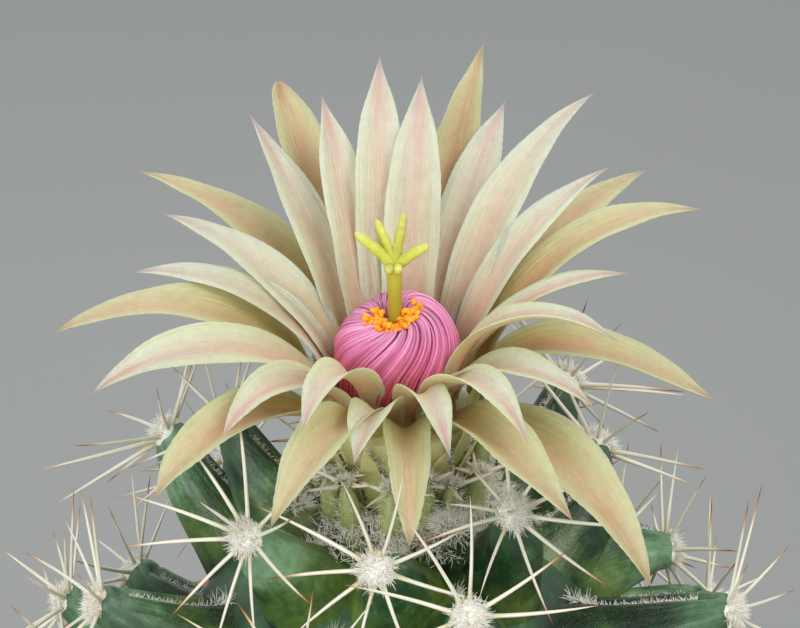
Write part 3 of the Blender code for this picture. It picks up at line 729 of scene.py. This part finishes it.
plant = {"coreRadius": 22.0, "coreHalfHeight": 25.0, "perRow": 8, "rowTurn": 5.0,
         "ringAngles": (22, 42, 62, 84, 106, 126), "tipRadius": 2.1, "bodyRadius": 4.0, "flare": 2.8,
         "flatness": 0.92, "bend": 0.22, "topRowSize": 0.9, "grooveDepth": 0.5, "grooveWidth": 0.42,
         "crown": 0.74, "capReach": 0.8, "padSink": 0.3, "padTurn": 0.9,
         "upperGrid": (60, 52), "lowerGrid": (44, 36)}
# the two upper rows: each tip's x, y and depth below the flower's throat,
# then the root's azimuth and its angle down from the crown
upperTubercles = (
    ((21.0, 8.0, 16.5, 8, 54), (18.0, 16.0, 13.0, 38, 46), (-5.5, 21.0, 14.5, 95, 44),
     (-24.0, 8.0, 15.0, 162, 54), (-17.5, -1.0, 9.5, 200, 32), (-15.0, -17.0, 14.5, 228, 43),
     (-2.0, -22.0, 15.5, 270, 42), (11.5, -15.5, 12.5, 318, 42)),
    ((28.5, 8.0, 29.0, 12, 61), (8.0, 30.0, 27.0, 72, 64), (-18.0, 25.5, 27.0, 118, 64),
     (-34.5, 2.0, 31.5, 180, 82), (-30.5, -9.0, 26.0, 200, 70), (-10.5, -28.5, 25.5, 250, 66),
     (7.0, -27.0, 18.0, 292, 56), (34.0, -11.0, 26.0, 340, 70)))
lowerTubercles = ((14.0, 8), (13.5, -8))     # the two lower rows' length and rise in degrees
# two tubercles of the third row that stand up, by their place in it
standing = {3: (-28.0, 14.0, 34.5, 155, 88), 0: (33.0, 4.0, 33.0, 8, 80)}


def corePoint(azimuth, down):
    # point of the egg-shaped core, azimuth and angle down from the top in degrees
    turn, drop = np.radians(azimuth), np.radians(down)
    height = coreMiddle + plant["coreHalfHeight"] * np.cos(drop)
    return polar(plant["coreRadius"] * np.sin(drop), turn, height)


def tubercleTable():
    # one line for each tubercle: row, root, control point and tip of its curve
    rows = []
    step = 360 / plant["perRow"]
    halfAxes = np.array([plant["coreRadius"], plant["coreRadius"], plant["coreHalfHeight"]])
    for row in range(4):
        for index in range(plant["perRow"]):
            base = plant["rowTurn"] + step * (index + row % 2 / 2)
            down = plant["ringAngles"][row + 1]
            if row < 2 or (row == 2 and index in standing):
                x, y, depth, base, down = upperTubercles[row][index] if row < 2 else standing[index]
                tip = np.array([x, y, flowerLevel - depth])
            else:
                length, rise = lowerTubercles[row - 2]
                turn = math.radians(base + 4 * math.sin(2.3 * index + row))
                lift = math.radians(rise)
                length = length * (1 + 0.06 * math.sin(1.7 * index + 2 * row))
                aim = polar(math.cos(lift), turn, math.sin(lift))
                tip = corePoint(math.degrees(turn), down) + aim * length
            root = corePoint(base, down)
            outward = unit((root - [0, 0, coreMiddle]) / halfAxes ** 2)
            bulge = outward * np.linalg.norm(tip - root) * plant["bend"]
            rows.append((row, root - outward * 3.0, root + bulge + (tip - root) * 0.25, tip))
    return rows


table = tubercleTable()


def tubercleRings(row, root, control, tip, number, rows, around):
    # round section carried along a quadratic curve, closed by a rounded cap; its radius falls from body
    # to tip with the share to the power 2.2, plus a flare (1 - s)^4 at the root; a narrow groove between
    # two low lips runs along its upper side
    share = np.linspace(0, 1, rows - 8)[:, None]
    end = unit(tip - control)
    size = plant["topRowSize"] if row == 0 else 1.0
    last = tip - end * plant["tipRadius"] * size * plant["capReach"]
    line = root * (1 - share) ** 2 + control * 2 * share * (1 - share) + last * share ** 2
    body = (plant["bodyRadius"] - plant["tipRadius"]) * (1 - share[:, 0] ** 2.2)
    wide = size * (plant["tipRadius"] + body + plant["flare"] * (1 - share[:, 0]) ** 4)
    cap = np.linspace(0, np.pi / 2, 9)[1:]
    line = np.vstack([line, last + end * (np.sin(cap) * wide[-1])[:, None]])
    wide = np.concatenate([wide, wide[-1] * np.cos(cap).clip(0.02)])
    share = np.concatenate([share[:, 0], 1 + 0.08 * np.sin(cap)])
    _, first, second = acrossPath(line[None], axisUp + 1e-3)
    first, second = first[0], second[0]
    place = roundAngles(around)
    angle = place - 0.62 * np.sin(place)     # closer together near the groove
    reach = np.minimum(angle, 2 * np.pi - angle) * wide[:, None]
    share, wide = share[:, None], wide[:, None]
    begun = smooth(0.10, 0.3, share)
    groove = np.exp(-(reach / plant["grooveWidth"]) ** 2) * begun
    groove = groove * plant["grooveDepth"] * (1 - smooth(1.0, 1.05, share))
    lips = 0.22 * np.exp(-((reach - 1.0) / 0.5) ** 2) * begun * (share < 1)
    fold = 0.10 * np.sin(3 * angle + number) + 0.07 * np.sin(5 * angle + 4 * share + number * 2)
    radius = wide + fold * np.minimum(1, wide / 3) + lips - groove
    return (line[:, None] + first[:, None] * (radius * np.cos(angle))[..., None]
            + second[:, None] * (radius * plant["flatness"] * np.sin(angle))[..., None])


def coreRings():
    # the core's egg shape, lowered at the crown by the cube of the cosine,
    # so that the flower's tube stands in a hollow
    down = np.radians(np.linspace(4, 150, 40))[:, None]
    tall = 1 - (1 - plant["crown"]) * np.cos(down).clip(0) ** 3
    height = coreMiddle + plant["coreHalfHeight"] * tall * np.cos(down)
    return polar(plant["coreRadius"] * np.sin(down), -roundAngles(64), height)


youth = {"count": 15, "footRadius": 7.4, "tipRadius": 9.3, "foot": -14.0, "top": -3.8, "wide": 1.15,
         "hairs": 70, "hairRadius": 0.036, "tuftSize": 0.62, "tuftCount": 150, "spineSize": 0.36,
         "spines": 4}


def youngTubercles():
    # slim upright tubercles round the flower's foot; a straight line that leans outwards, its radius
    # a half wave; hairs stand on their outer sides
    count = youth["count"]
    turn = (np.arange(count) + chance.uniform(-0.25, 0.25, count)) / count * 2 * np.pi
    top = tubeTop + youth["top"] + chance.normal(0, 0.8, count)
    outward = polar(1, turn, 0)
    foot = outward * youth["footRadius"] + axisUp * (tubeTop + youth["foot"])
    tip = outward * (youth["tipRadius"] + chance.normal(0, 0.4, count))[:, None] + axisUp * top[:, None]
    share = np.linspace(0, 1, 20)[None, :, None]
    line = foot[:, None] * (1 - share) + tip[:, None] * share
    flat = share[0, :, 0]
    radii = youth["wide"] * (0.72 + 0.4 * np.sin(np.pi * flat ** 0.8)) * np.sqrt(1 - flat ** 8 * 0.98)
    part = strands(line, np.tile(radii, (count, 1)), 18, outward[:, None] + 0.01)
    which = np.repeat(np.arange(count), youth["hairs"])
    place = chance.uniform(0.3, 0.95, len(which))
    side = np.stack([-outward[which][:, 1], outward[which][:, 0], 0 * place], axis=-1)
    away = outward[which] + side * chance.uniform(-1, 1, (len(which), 1))
    aims = unit(away + axisUp * 0.4 + chance.normal(0, 0.25, (len(which), 3)))
    place = place[:, None]
    roots = foot[which] * (1 - place) + tip[which] * place + unit(away) * youth["wide"] * 0.9
    hairs = fibres(roots, aims, chance.uniform(0.5, 1.2, len(which)), youth["hairRadius"])
    return part, tip, unit(tip - foot), hairs


def stemMaterial(name, look):
    # mottled greens, paler towards the tip, yellower towards the root; the mottle is partly the skin's
    # own
    # tone and partly painted light: painted shade in its darkest greens, painted highlights in its palest
    # streaks;
    # wrinkles and specks of wax in the relief
    material, tree, shader, place, mapped = newMaterial(
        name, Coat_Weight=0.22, Coat_Roughness=0.3, Subsurface_Weight=0.06,
        Subsurface_Radius=(0.4, 1.0, 0.3), Subsurface_Scale=0.0015)
    part = separate(tree, mapped)
    broad = put(tree, "ShaderNodeTexNoise", {"Vector": place, "Scale": 75.0, "Detail": 5.0,
                                             "Roughness": 0.6}).outputs[0]
    wrinkles = useGroup(tree, streaks, {"Map": mapped, "Count": 26.0, "Along": 3.0, "Vary": 3.0})[0]
    mottleShadeAndHighlight = reckon(tree, "MULTIPLY_ADD", reckon(tree, "SUBTRACT", wrinkles, 0.5), 0.25, broad)
    # partly painted light: the darkest stops stand for shade, the palest streaks for highlights
    colour = ramp(tree, mottleShadeAndHighlight, *look["body"])
    rootward = ramp(tree, part[1], (0.15, 1.0), (0.55, 0.0))
    rootward = reckon(tree, "MULTIPLY", rootward, ramp(tree, broad, (0.42, 0.0), (0.6, 1.0)))
    colour = blendColours(tree, reckon(tree, "MULTIPLY", rootward, 0.85), colour, look["root"])
    tipward = ramp(tree, part[1], (0.6, 0.0), (0.95, 1.0))
    colour = blendColours(tree, reckon(tree, "MULTIPLY", tipward, look["tipShare"]), colour, look["tip"])
    specks = put(tree, "ShaderNodeTexVoronoi", {"Vector": place, "Scale": 2600.0}).outputs[0]
    dots = ramp(tree, specks, (0.08, 1.0), (0.24, 0.0))
    colour = blendColours(tree, reckon(tree, "MULTIPLY", dots, 0.12), colour, paint(170, 190, 160))
    colour, relief = grained(tree, place, colour, 800.0, 0.42)
    rough = reckon(tree, "MULTIPLY_ADD", mottleShadeAndHighlight, 0.3, 0.26)
    height = reckon(tree, "SUBTRACT", relief, reckon(tree, "MULTIPLY", dots, 0.3))
    height = reckon(tree, "MULTIPLY_ADD", wrinkles, 1.3, height)
    finishMaterial(tree, shader, colour, rough, height, 0.7, 0.2)
    return material


# painted shade in the darkest greens and painted highlights in the palest, besides the skin's own mottle
stemGreen = stemMaterial("stemGreen", {
    "body": ((0.34, paint(12, 32, 16)), (0.45, paint(30, 66, 34)), (0.54, paint(56, 100, 56)),
             (0.66, paint(128, 166, 126))),
    "root": paint(122, 140, 44), "tip": paint(122, 160, 128), "tipShare": 0.35})
youngGreen = stemMaterial("youngGreen", {
    "body": ((0.30, paint(120, 138, 72)), (0.5, paint(168, 178, 108)), (0.70, paint(212, 214, 156))),
    "root": paint(84, 96, 40), "tip": paint(190, 196, 140), "tipShare": 0.4})
stemParts = []
areoles = []
grooves = []
for number, (row, root, control, tip) in enumerate(table):
    # each areole faces outwards more than its tubercle does; the tip moves back to leave it in place
    end = unit(tip - control)
    radius = plant["tipRadius"] * (plant["topRowSize"] if row == 0 else 1.0)
    facing = unit(end + unit(tip * [1, 1, 0]) * plant["padTurn"])
    tip = tip - (facing - end) * radius * plant["capReach"]
    grid = plant["upperGrid" if row < 2 else "lowerGrid"]
    rings = tubercleRings(row, root, control, tip, number, *grid)
    stemParts.append(closedTubes(rings[None]))
    lift = facing * radius * (plant["capReach"] - plant["padSink"])
    areoles.append((row, tip - end * radius * plant["capReach"] + lift, facing, number))
    grooves.append((row, rings[:, 0], unit(rings[:, 0] - rings.mean(axis=1))))
stemParts.append(closedTubes(coreRings()[None, ::-1, ::-1]))
makePiece("tubercled_stem", joined(stemParts), stemGreen, ["stem"])
youngPart, youngTips, youngAims, youngHairs = youngTubercles()
makePiece("young_tubercles", youngPart, youngGreen)
bractScales, bractHairs = bractParts()
makePiece("tube_bracts", bractScales, tubeSkin)
print("stem done")


# wool and spines

def woolMaterial():
    # near white, some hairs creamier; a faint painted glow, a small emission, stands in for the light
    # that wanders between the hairs and brightens them where they lie in shade
    material, tree, shader, place, mapped = newMaterial(
        "areoleWool", Sheen_Weight=0.8, Sheen_Roughness=0.5,
        Emission_Color=(1.0, 0.95, 0.86, 1.0), Emission_Strength=0.05)
    each = useGroup(tree, eachStrand, {"Map": mapped})[0]
    colour = ramp(tree, each, (0.0, paint(238, 224, 190)), (0.15, paint(244, 240, 226)),
                  (1.0, paint(250, 248, 240)))
    colour, relief = grained(tree, place, colour, 900.0, 0.12)
    finishMaterial(tree, shader, colour, 0.9, relief, 0.3, 0.1)
    return material


def spineMaterial():
    # cream at the foot, horn-brown towards the point; each spine's brown starts at its own place
    material, tree, shader, _, mapped = newMaterial(
        "spineHorn", Subsurface_Weight=0.1, Subsurface_Scale=0.0008)
    part = separate(tree, mapped)
    each = useGroup(tree, eachStrand, {"Map": mapped})[0]
    along = reckon(tree, "MULTIPLY_ADD", reckon(tree, "SUBTRACT", each, 0.5), 0.26, part[1])
    colour = ramp(tree, along, (0.02, paint(214, 206, 166)), (0.2, paint(240, 236, 218)),
                  (0.74, paint(238, 228, 206)), (0.9, paint(206, 150, 100)), (1.0, paint(140, 70, 42)))
    lines = useGroup(tree, streaks, {"Map": mapped, "Count": 9.0, "Along": 3.0, "Vary": 0.0})[0]
    colour = blendColours(tree, 1.0, colour, reckon(tree, "MULTIPLY_ADD", lines, 0.3, 0.85), "MULTIPLY")
    finishMaterial(tree, shader, colour, 0.38, lines, 0.3, 0.06)
    return material


wool = {"padRadius": 1.7, "padHeight": 1.2, "fibreRadius": 0.045, "counts": (560, 560, 300, 260),
        "crownCount": 4600, "crownRadius": 0.042, "grooveCount": 520,
        "axils": 4, "axilCount": 600, "axilReach": 11.8, "axilDrop": 8.0, "axilSize": 1.15}


def padRings(centre, axis, number):
    # a low cushion under the hairs: a half ellipse turned round the areole's axis, gently lumpy
    first, second = basis(axis)
    rise = np.linspace(-0.35, np.pi / 2 - 0.02, 12)[:, None]
    angle = roundAngles(24)
    radius = wool["padRadius"] * np.cos(rise) * (1 + 0.05 * np.sin(5 * angle + number))
    height = wool["padHeight"] * np.sin(rise) + 0 * angle
    return (centre + first * (radius * np.cos(angle))[..., None]
            + second * (radius * np.sin(angle))[..., None] + axis * height[..., None])


def tuft(centre, axis, count, scale=1.0):
    # hairs rooted all over the cushion, pointing away from its middle
    first, second = basis(axis)
    turn = chance.uniform(0, 2 * np.pi, count)
    out = np.sqrt(chance.uniform(0, 1, count))
    flat = first * np.cos(turn)[:, None] + second * np.sin(turn)[:, None]
    roots = centre + flat * (out * wool["padRadius"] * scale)[:, None] * 0.95
    roots = roots + axis * (wool["padHeight"] * scale * np.sqrt(1 - 0.95 * out ** 2))[:, None] * 0.85
    aims = unit(flat * (out * 1.2)[:, None] + axis * (1.05 - 0.75 * out)[:, None]
                + chance.normal(0, 0.28, (count, 3)))
    return fibres(roots, aims, chance.uniform(0.45, 1.0, count) * scale, wool["fibreRadius"])


spines = {"length": 12.0, "radius": 0.235, "tilt": 20, "rows": 12, "around": 6, "shelter": 20.5,
          "shelteredSize": 0.62, "lowerSize": 0.85}


def spinePart(centre, axis, number, scale, radials=9):
    # radials spread evenly round the areole and on most of them a central stands out;
    # each tapers to a point with a slight bow
    first, second = basis(axis)
    count = radials + number % 2
    turn = (np.arange(count) + chance.uniform(-0.22, 0.22, count)) / count * 2 * np.pi + number
    tilt = np.radians(spines["tilt"] + chance.normal(0, 7, count))
    flat = first * np.cos(turn)[:, None] + second * np.sin(turn)[:, None]
    aims = flat * np.cos(tilt)[:, None] + axis * np.sin(tilt)[:, None]
    lengths = spines["length"] * scale * chance.uniform(0.78, 1.15, count)
    under = np.hypot(centre[0], centre[1]) < spines["shelter"]     # short under the flower
    lengths = lengths * np.where(under & (aims[:, 2] > 0.3), spines["shelteredSize"], 1.0)
    offset = flat * 0.9
    if number % 3:
        aims = np.vstack([aims, unit(axis + flat[0] * 0.35)])
        lengths = np.append(lengths, spines["length"] * scale * 0.7)
        offset = np.vstack([offset, flat[0] * 0.2])
    share = np.linspace(0, 1, spines["rows"])[:, None]
    bow = np.cross(aims, axis)[:, None] * (share * (1 - share)) * 0.08
    paths = (centre + offset)[:, None] + (aims[:, None] * share + bow) * lengths[:, None, None]
    taper = np.interp(share[:, 0], [0, 0.05, 0.15, 0.6, 0.9, 1], [1.35, 1.3, 1.0, 0.75, 0.32, 0.06])
    radii = np.tile(spines["radius"] * taper, (len(paths), 1))
    return strands(paths, radii, spines["around"], aslant, 0.8)


def grooveWool(line, away, count):
    # felt of short hairs rooted in a tubercle's groove, leaning to both sides, longest at its inner end
    place = chance.uniform(0.14, 0.9, count)
    index = place * (len(line) - 9)
    low = index.astype(int)
    part = (index - low)[:, None]
    roots = line[low] * (1 - part) + line[low + 1] * part
    up = away[low]
    side = unit(np.cross(up, line[low + 1] - line[low])) * chance.choice([-1, 1], count)[:, None]
    roots = roots + side * chance.uniform(0.0, 0.3, count)[:, None]
    aims = unit(up + side * chance.uniform(-0.8, 1.6, count)[:, None] + chance.normal(0, 0.6, (count, 3)))
    lengths = chance.uniform(0.3, 0.6, count) * (1 + 1.6 * (1 - smooth(0.14, 0.36, place)))
    return fibres(roots, aims, lengths, wool["fibreRadius"])


def crownWool(count):
    # loose wool between the young tubercles: hairs rooted on a ring, rising and curling outwards
    turn = chance.uniform(0, 2 * np.pi, count) + 0.12 * np.sin(chance.uniform(0, 2 * np.pi, count))
    reach = chance.uniform(7.0, 12.5, count)
    outward = polar(1, turn, 0)
    level = tubeTop - 8.5 - 0.25 * (reach - 7) ** 2 * 0.4
    roots = outward * reach[:, None] + axisUp * level[:, None]
    aims = unit(axisUp * 0.7 + outward * chance.uniform(-0.2, 0.7, count)[:, None]
                + chance.normal(0, 0.7, (count, 3)))
    return fibres(roots, aims, chance.uniform(0.7, 1.5, count), wool["crownRadius"])


woolWhite = woolMaterial()
spineHorn = spineMaterial()
for row, count in enumerate(wool["counts"]):
    chosen = [areole for areole in areoles if areole[0] == row]
    pads = np.stack([padRings(centre, axis, number) for _, centre, axis, number in chosen])
    hairs = [tuft(centre, axis, count) for _, centre, axis, _ in chosen]
    makePiece(f"areole_wool_{row + 1}", joined([closedTubes(pads)] + hairs), woolWhite)
    size = 1.0 if row < 2 else spines["lowerSize"]
    stiff = [spinePart(centre, axis, number, size) for _, centre, axis, number in chosen]
    makePiece(f"spines_{row + 1}", joined(stiff), spineHorn)
for label, wanted in (("upper", (0, 1)), ("lower", (2, 3))):
    hairCount = wool["grooveCount"] // wanted[1]
    felt = [grooveWool(line, away, hairCount) for row, line, away in grooves if row in wanted]
    makePiece(f"groove_wool_{label}", joined(felt), woolWhite)
crownHairs = [tuft(tip, aim, youth["tuftCount"], youth["tuftSize"])
              for tip, aim in zip(youngTips, youngAims)]
crownHairs += [crownWool(wool["crownCount"]), bractHairs, youngHairs]
makePiece("crown_wool", joined(crownHairs), woolWhite)
axilTurns = np.radians(plant["rowTurn"] + 180 / plant["perRow"]) + roundAngles(wool["axils"])
axilHairs = [tuft(spot, axisUp, wool["axilCount"], wool["axilSize"])
             for spot in polar(wool["axilReach"], axilTurns, tubeTop - wool["axilDrop"])]
makePiece("axil_wool", joined(axilHairs), woolWhite)
youngStiff = [spinePart(tip, aim, number + 50, youth["spineSize"], youth["spines"])
              for number, (tip, aim) in enumerate(zip(youngTips, youngAims))]
makePiece("young_spines", joined(youngStiff), spineHorn)
print("wool and spines done")


# pot and soil

pot = {"baseRadius": 36.0, "wall": 5.0, "floor": 7.0, "rimHeight": 18.0, "rimStep": 3.0, "drain": 6.0,
       "soften": 1.3, "around": 160}


def roundProfile(corners, soften, steps=5):
    # a closed outline with each corner replaced by a quadratic curve; corners are (radius, height)
    corners = np.array(corners, float)
    before, after = np.roll(corners, 1, axis=0), np.roll(corners, -1, axis=0)
    reachBefore = np.minimum(soften, 0.45 * np.linalg.norm(before - corners, axis=1))[:, None]
    reachAfter = np.minimum(soften, 0.45 * np.linalg.norm(after - corners, axis=1))[:, None]
    start = corners + unit(before - corners) * reachBefore
    stop = corners + unit(after - corners) * reachAfter
    share = np.linspace(0, 1, steps)[None, :, None]
    middle = corners[:, None] * 2 * share * (1 - share)
    curve = start[:, None] * (1 - share) ** 2 + middle + stop[:, None] * share ** 2
    return curve.reshape(-1, 2)


def turned(outline, around):
    # a closed outline of (radius, height) turned round the upright axis, joined to itself both ways
    rings = polar(outline[:, :1], roundAngles(around), outline[:, 1:])
    count = len(outline)
    row, place = gridPlaces(count, around)
    below, beside = (row + 1) % count, (place + 1) % around
    quads = np.stack([row * around + place, row * around + beside, below * around + beside,
                      below * around + place], -1)
    quadMap = np.stack([np.stack([place, place + 1, place + 1, place]) / around,
                        np.stack([row, row, row + 1, row + 1]) / count], axis=-1).transpose(1, 0, 2)
    return {"points": rings.reshape(-1, 3), "quads": quads, "fans": np.zeros((0, 3), int),
            "quadMap": quadMap.reshape(-1, 2), "fanMap": np.zeros((0, 2))}


def potOutline():
    # base, leaning wall, stepped rim, and back down the inside to the drain hole
    rim, top = potHigh.x / mm, potHigh.z / mm
    low = top - pot["rimHeight"]
    body = rim - pot["rimStep"]
    mouth = body - pot["wall"] + 1.6
    outside = [(pot["drain"], 0.0), (pot["baseRadius"], 0.0), (body - 1.0, low), (rim - 0.6, low + 0.6),
               (rim, top)]
    inside = [(mouth, top), (body - 6.4, low - 2), (pot["baseRadius"] - 5, pot["floor"]),
              (pot["drain"], pot["floor"])]
    return roundProfile(outside + inside, pot["soften"])


def clayMaterial():
    # mottled clay, a pale mineral bloom that fades out up from the foot, and the rings of its throwing
    material, tree, shader, place, _ = newMaterial("clay")
    broad = put(tree, "ShaderNodeTexNoise", {"Vector": place, "Scale": 28.0, "Detail": 5.0}).outputs[0]
    colour = ramp(tree, broad, (0.3, paint(168, 92, 62)), (0.55, paint(186, 108, 74)),
                  (0.75, paint(204, 136, 104)))
    height = separate(tree, place)[2]
    patches = put(tree, "ShaderNodeTexNoise", {"Vector": place, "Scale": 70.0, "Detail": 6.0}).outputs[0]
    low = reckon(tree, "MULTIPLY_ADD", patches, -0.03, height)
    bloom = ramp(tree, low, (0.0, 1.0), (0.025, 0.0))
    colour = blendColours(tree, reckon(tree, "MULTIPLY", bloom, 0.5), colour, paint(220, 200, 180))
    colour, relief = grained(tree, place, colour, 420.0, 0.3)
    bands = {"Vector": place, "Scale": 110.0, "Distortion": 1.4, "Detail": 2.0}
    throwing = put(tree, "ShaderNodeTexWave", bands, bands_direction="Z").outputs["Fac"]
    relief = reckon(tree, "MULTIPLY_ADD", throwing, 0.35, relief)
    finishMaterial(tree, shader, colour, 0.86, relief, 0.5, 0.25)
    return material


makePiece("clay_pot", turned(potOutline(), pot["around"]), clayMaterial(), ["pot"])

soil = {"grains": 1500, "size": (0.5, 1.5), "mound": 0.9, "around": 140}


def soilPart():
    # a low mound with lumps from a few crossed waves, closed below inside the pot
    reach = soilHigh.x / mm
    angle = roundAngles(soil["around"])
    share = np.linspace(0.02, 1, 60)[:, None]
    x, y = share * reach * np.cos(angle), share * reach * np.sin(angle)
    lumps = 0.30 * np.sin(x * 1.9 + 1.3 * np.sin(y * 1.1)) * np.sin(y * 2.3 + 1.7 * np.sin(x * 0.9))
    lumps = lumps + 0.18 * np.sin(x * 4.1 + y * 2.2) * np.sin(y * 4.7 - x * 1.3)
    top = np.stack([x, y, soilLevel + soil["mound"] * (1 - share ** 2) + lumps * (1 - share ** 8)],
                   axis=-1)
    down = np.linspace(1, 0.82, 4)[1:, None]
    side = polar(down * reach, angle, soilLevel - (1 - down) * 120)
    return closedTubes(np.concatenate([top, side])[None, ::-1])


def gritPart():
    # small angular stones: squashed, jittered balls of 6 by 5 corners, thrown over the soil's top
    count = soil["grains"]
    reach = (soilHigh.x / mm - 1.2) * np.sqrt(chance.uniform(0.08, 1, count))
    turn = chance.uniform(0, 2 * np.pi, count)
    size = chance.uniform(*soil["size"], count) ** 1.3
    middle = polar(reach, turn, soilLevel + soil["mound"] * (1 - (reach / 44) ** 2) + size * 0.2)
    axis = unit(chance.normal(0, 1, (count, 3)))
    share = np.linspace(-1, 1, 5)
    paths = middle[:, None] + axis[:, None] * share[:, None] * (size * 0.55)[:, None, None]
    ragged = chance.uniform(0.75, 1.2, (count, 5))
    radii = np.sqrt(np.clip(1 - share ** 2, 0.12, 1)) * size[:, None] * 0.55 * ragged
    return strands(paths, radii, 6, aslant, 0.8)


soilBrown = plainMaterial("soilBrown", ((0.0, paint(62, 48, 38)), (1.0, paint(82, 66, 52))), 900.0, 0.9,
                          0.95, 0.9, 0.6)


def gritMaterial():
    # each stone takes one of several earth colours
    material, tree, shader, place, mapped = newMaterial("grit")
    each = useGroup(tree, eachStrand, {"Map": mapped})[0]
    colour = ramp(tree, each, (0.0, paint(70, 56, 46)), (0.35, paint(122, 100, 80)),
                  (0.6, paint(160, 144, 122)), (0.8, paint(196, 184, 164)), (1.0, paint(96, 92, 90)))
    colour, relief = grained(tree, place, colour, 1500.0, 0.5)
    finishMaterial(tree, shader, colour, 0.85, relief, 0.6, 0.2)
    return material


makePiece("soil_top", soilPart(), soilBrown, ["soil"])
makePiece("soil_grit", gritPart(), gritMaterial())
print("pot and soil done")


# floor, lights and camera

floorSize, floorDrop = 6, 0.0005     # in metres


def addFloor():
    # a wide square just under the pot's foot, faintly mottled
    mesh = bpy.data.meshes.new("floor")
    corners = [(floorSize * x, floorSize * y, 0) for x, y in ((-1, -1), (1, -1), (1, 1), (-1, 1))]
    mesh.from_pydata(corners, [], [(0, 1, 2, 3)])
    floor = bpy.data.objects.new("floor", mesh)
    floor.location.z = potLow.z - floorDrop
    bpy.context.scene.collection.objects.link(floor)
    material, tree, shader, place, _ = newMaterial("floorPale", Roughness=0.7)
    shade = put(tree, "ShaderNodeTexNoise", {"Vector": place, "Scale": 3.0, "Detail": 2.0}).outputs[0]
    colour = ramp(tree, shade, (0.3, paint(152, 154, 152)), (0.7, paint(158, 160, 158)))
    feed(tree, shader, {"Base Color": colour})
    mesh.materials.append(material)


def addLight(name, place, aim, size, power, colour):
    # a soft square lamp at place, turned so that it faces aim; the camera doesn't see it
    light = bpy.data.lights.new(name, "AREA")
    light.size = size
    light.energy = power
    light.color = colour
    lamp = bpy.data.objects.new(name, light)
    lamp.location = place
    direction = np.array(aim) - np.array(place)
    lamp.rotation_euler = (math.acos(-direction[2] / np.linalg.norm(direction)), 0,
                           math.atan2(-direction[0], direction[1]))
    lamp.visible_camera = False
    bpy.context.scene.collection.objects.link(lamp)


# in metres and degrees; the aim is a little right of and above the flower's throat
camera = {"lens": 216.0, "distance": 0.48, "elevation": 25.0, "aimRight": 0.0003, "aimUp": 0.0016}


def addCamera():
    # looks at the aim from the front, tilted down by its elevation
    data = bpy.data.cameras.new("camera")
    data.lens = camera["lens"]
    data.sensor_width = 36.0
    data.clip_start = 0.01
    viewer = bpy.data.objects.new("camera", data)
    tilt = math.radians(camera["elevation"])
    aim = np.array([camera["aimRight"], camera["aimUp"] * math.sin(tilt),
                    flowerLevel * mm + camera["aimUp"] * math.cos(tilt)])
    viewer.location = aim + camera["distance"] * np.array([0, -math.cos(tilt), math.sin(tilt)])
    viewer.rotation_euler = (math.pi / 2 - tilt, 0, 0)
    bpy.context.scene.collection.objects.link(viewer)
    bpy.context.scene.camera = viewer


# each light's name, place, size in metres, power in watts and colour
lights = (("keySoft", (0.24, -0.26, 0.50), 0.26, 1.2, (1.0, 0.985, 0.96)),
          ("fillSoft", (-0.26, -0.46, 0.20), 0.40, 1.65, (0.97, 0.99, 1.0)),
          ("backSoft", (-0.12, 0.34, 0.46), 0.40, 0.9, (1.0, 1.0, 1.0)))
skyColour, skyStrength = (0.9, 0.93, 0.95, 1), 0.6
addFloor()
for name, place, size, power, colour in lights:
    addLight(name, place, (0, 0, flowerLevel * mm), size, power, colour)
world = bpy.data.worlds.new("world")
world.use_nodes = True
feed(world.node_tree, world.node_tree.nodes["Background"], {"Color": skyColour, "Strength": skyStrength})
bpy.context.scene.world = world
bpy.context.scene.view_settings.view_transform = "Standard"
addCamera()
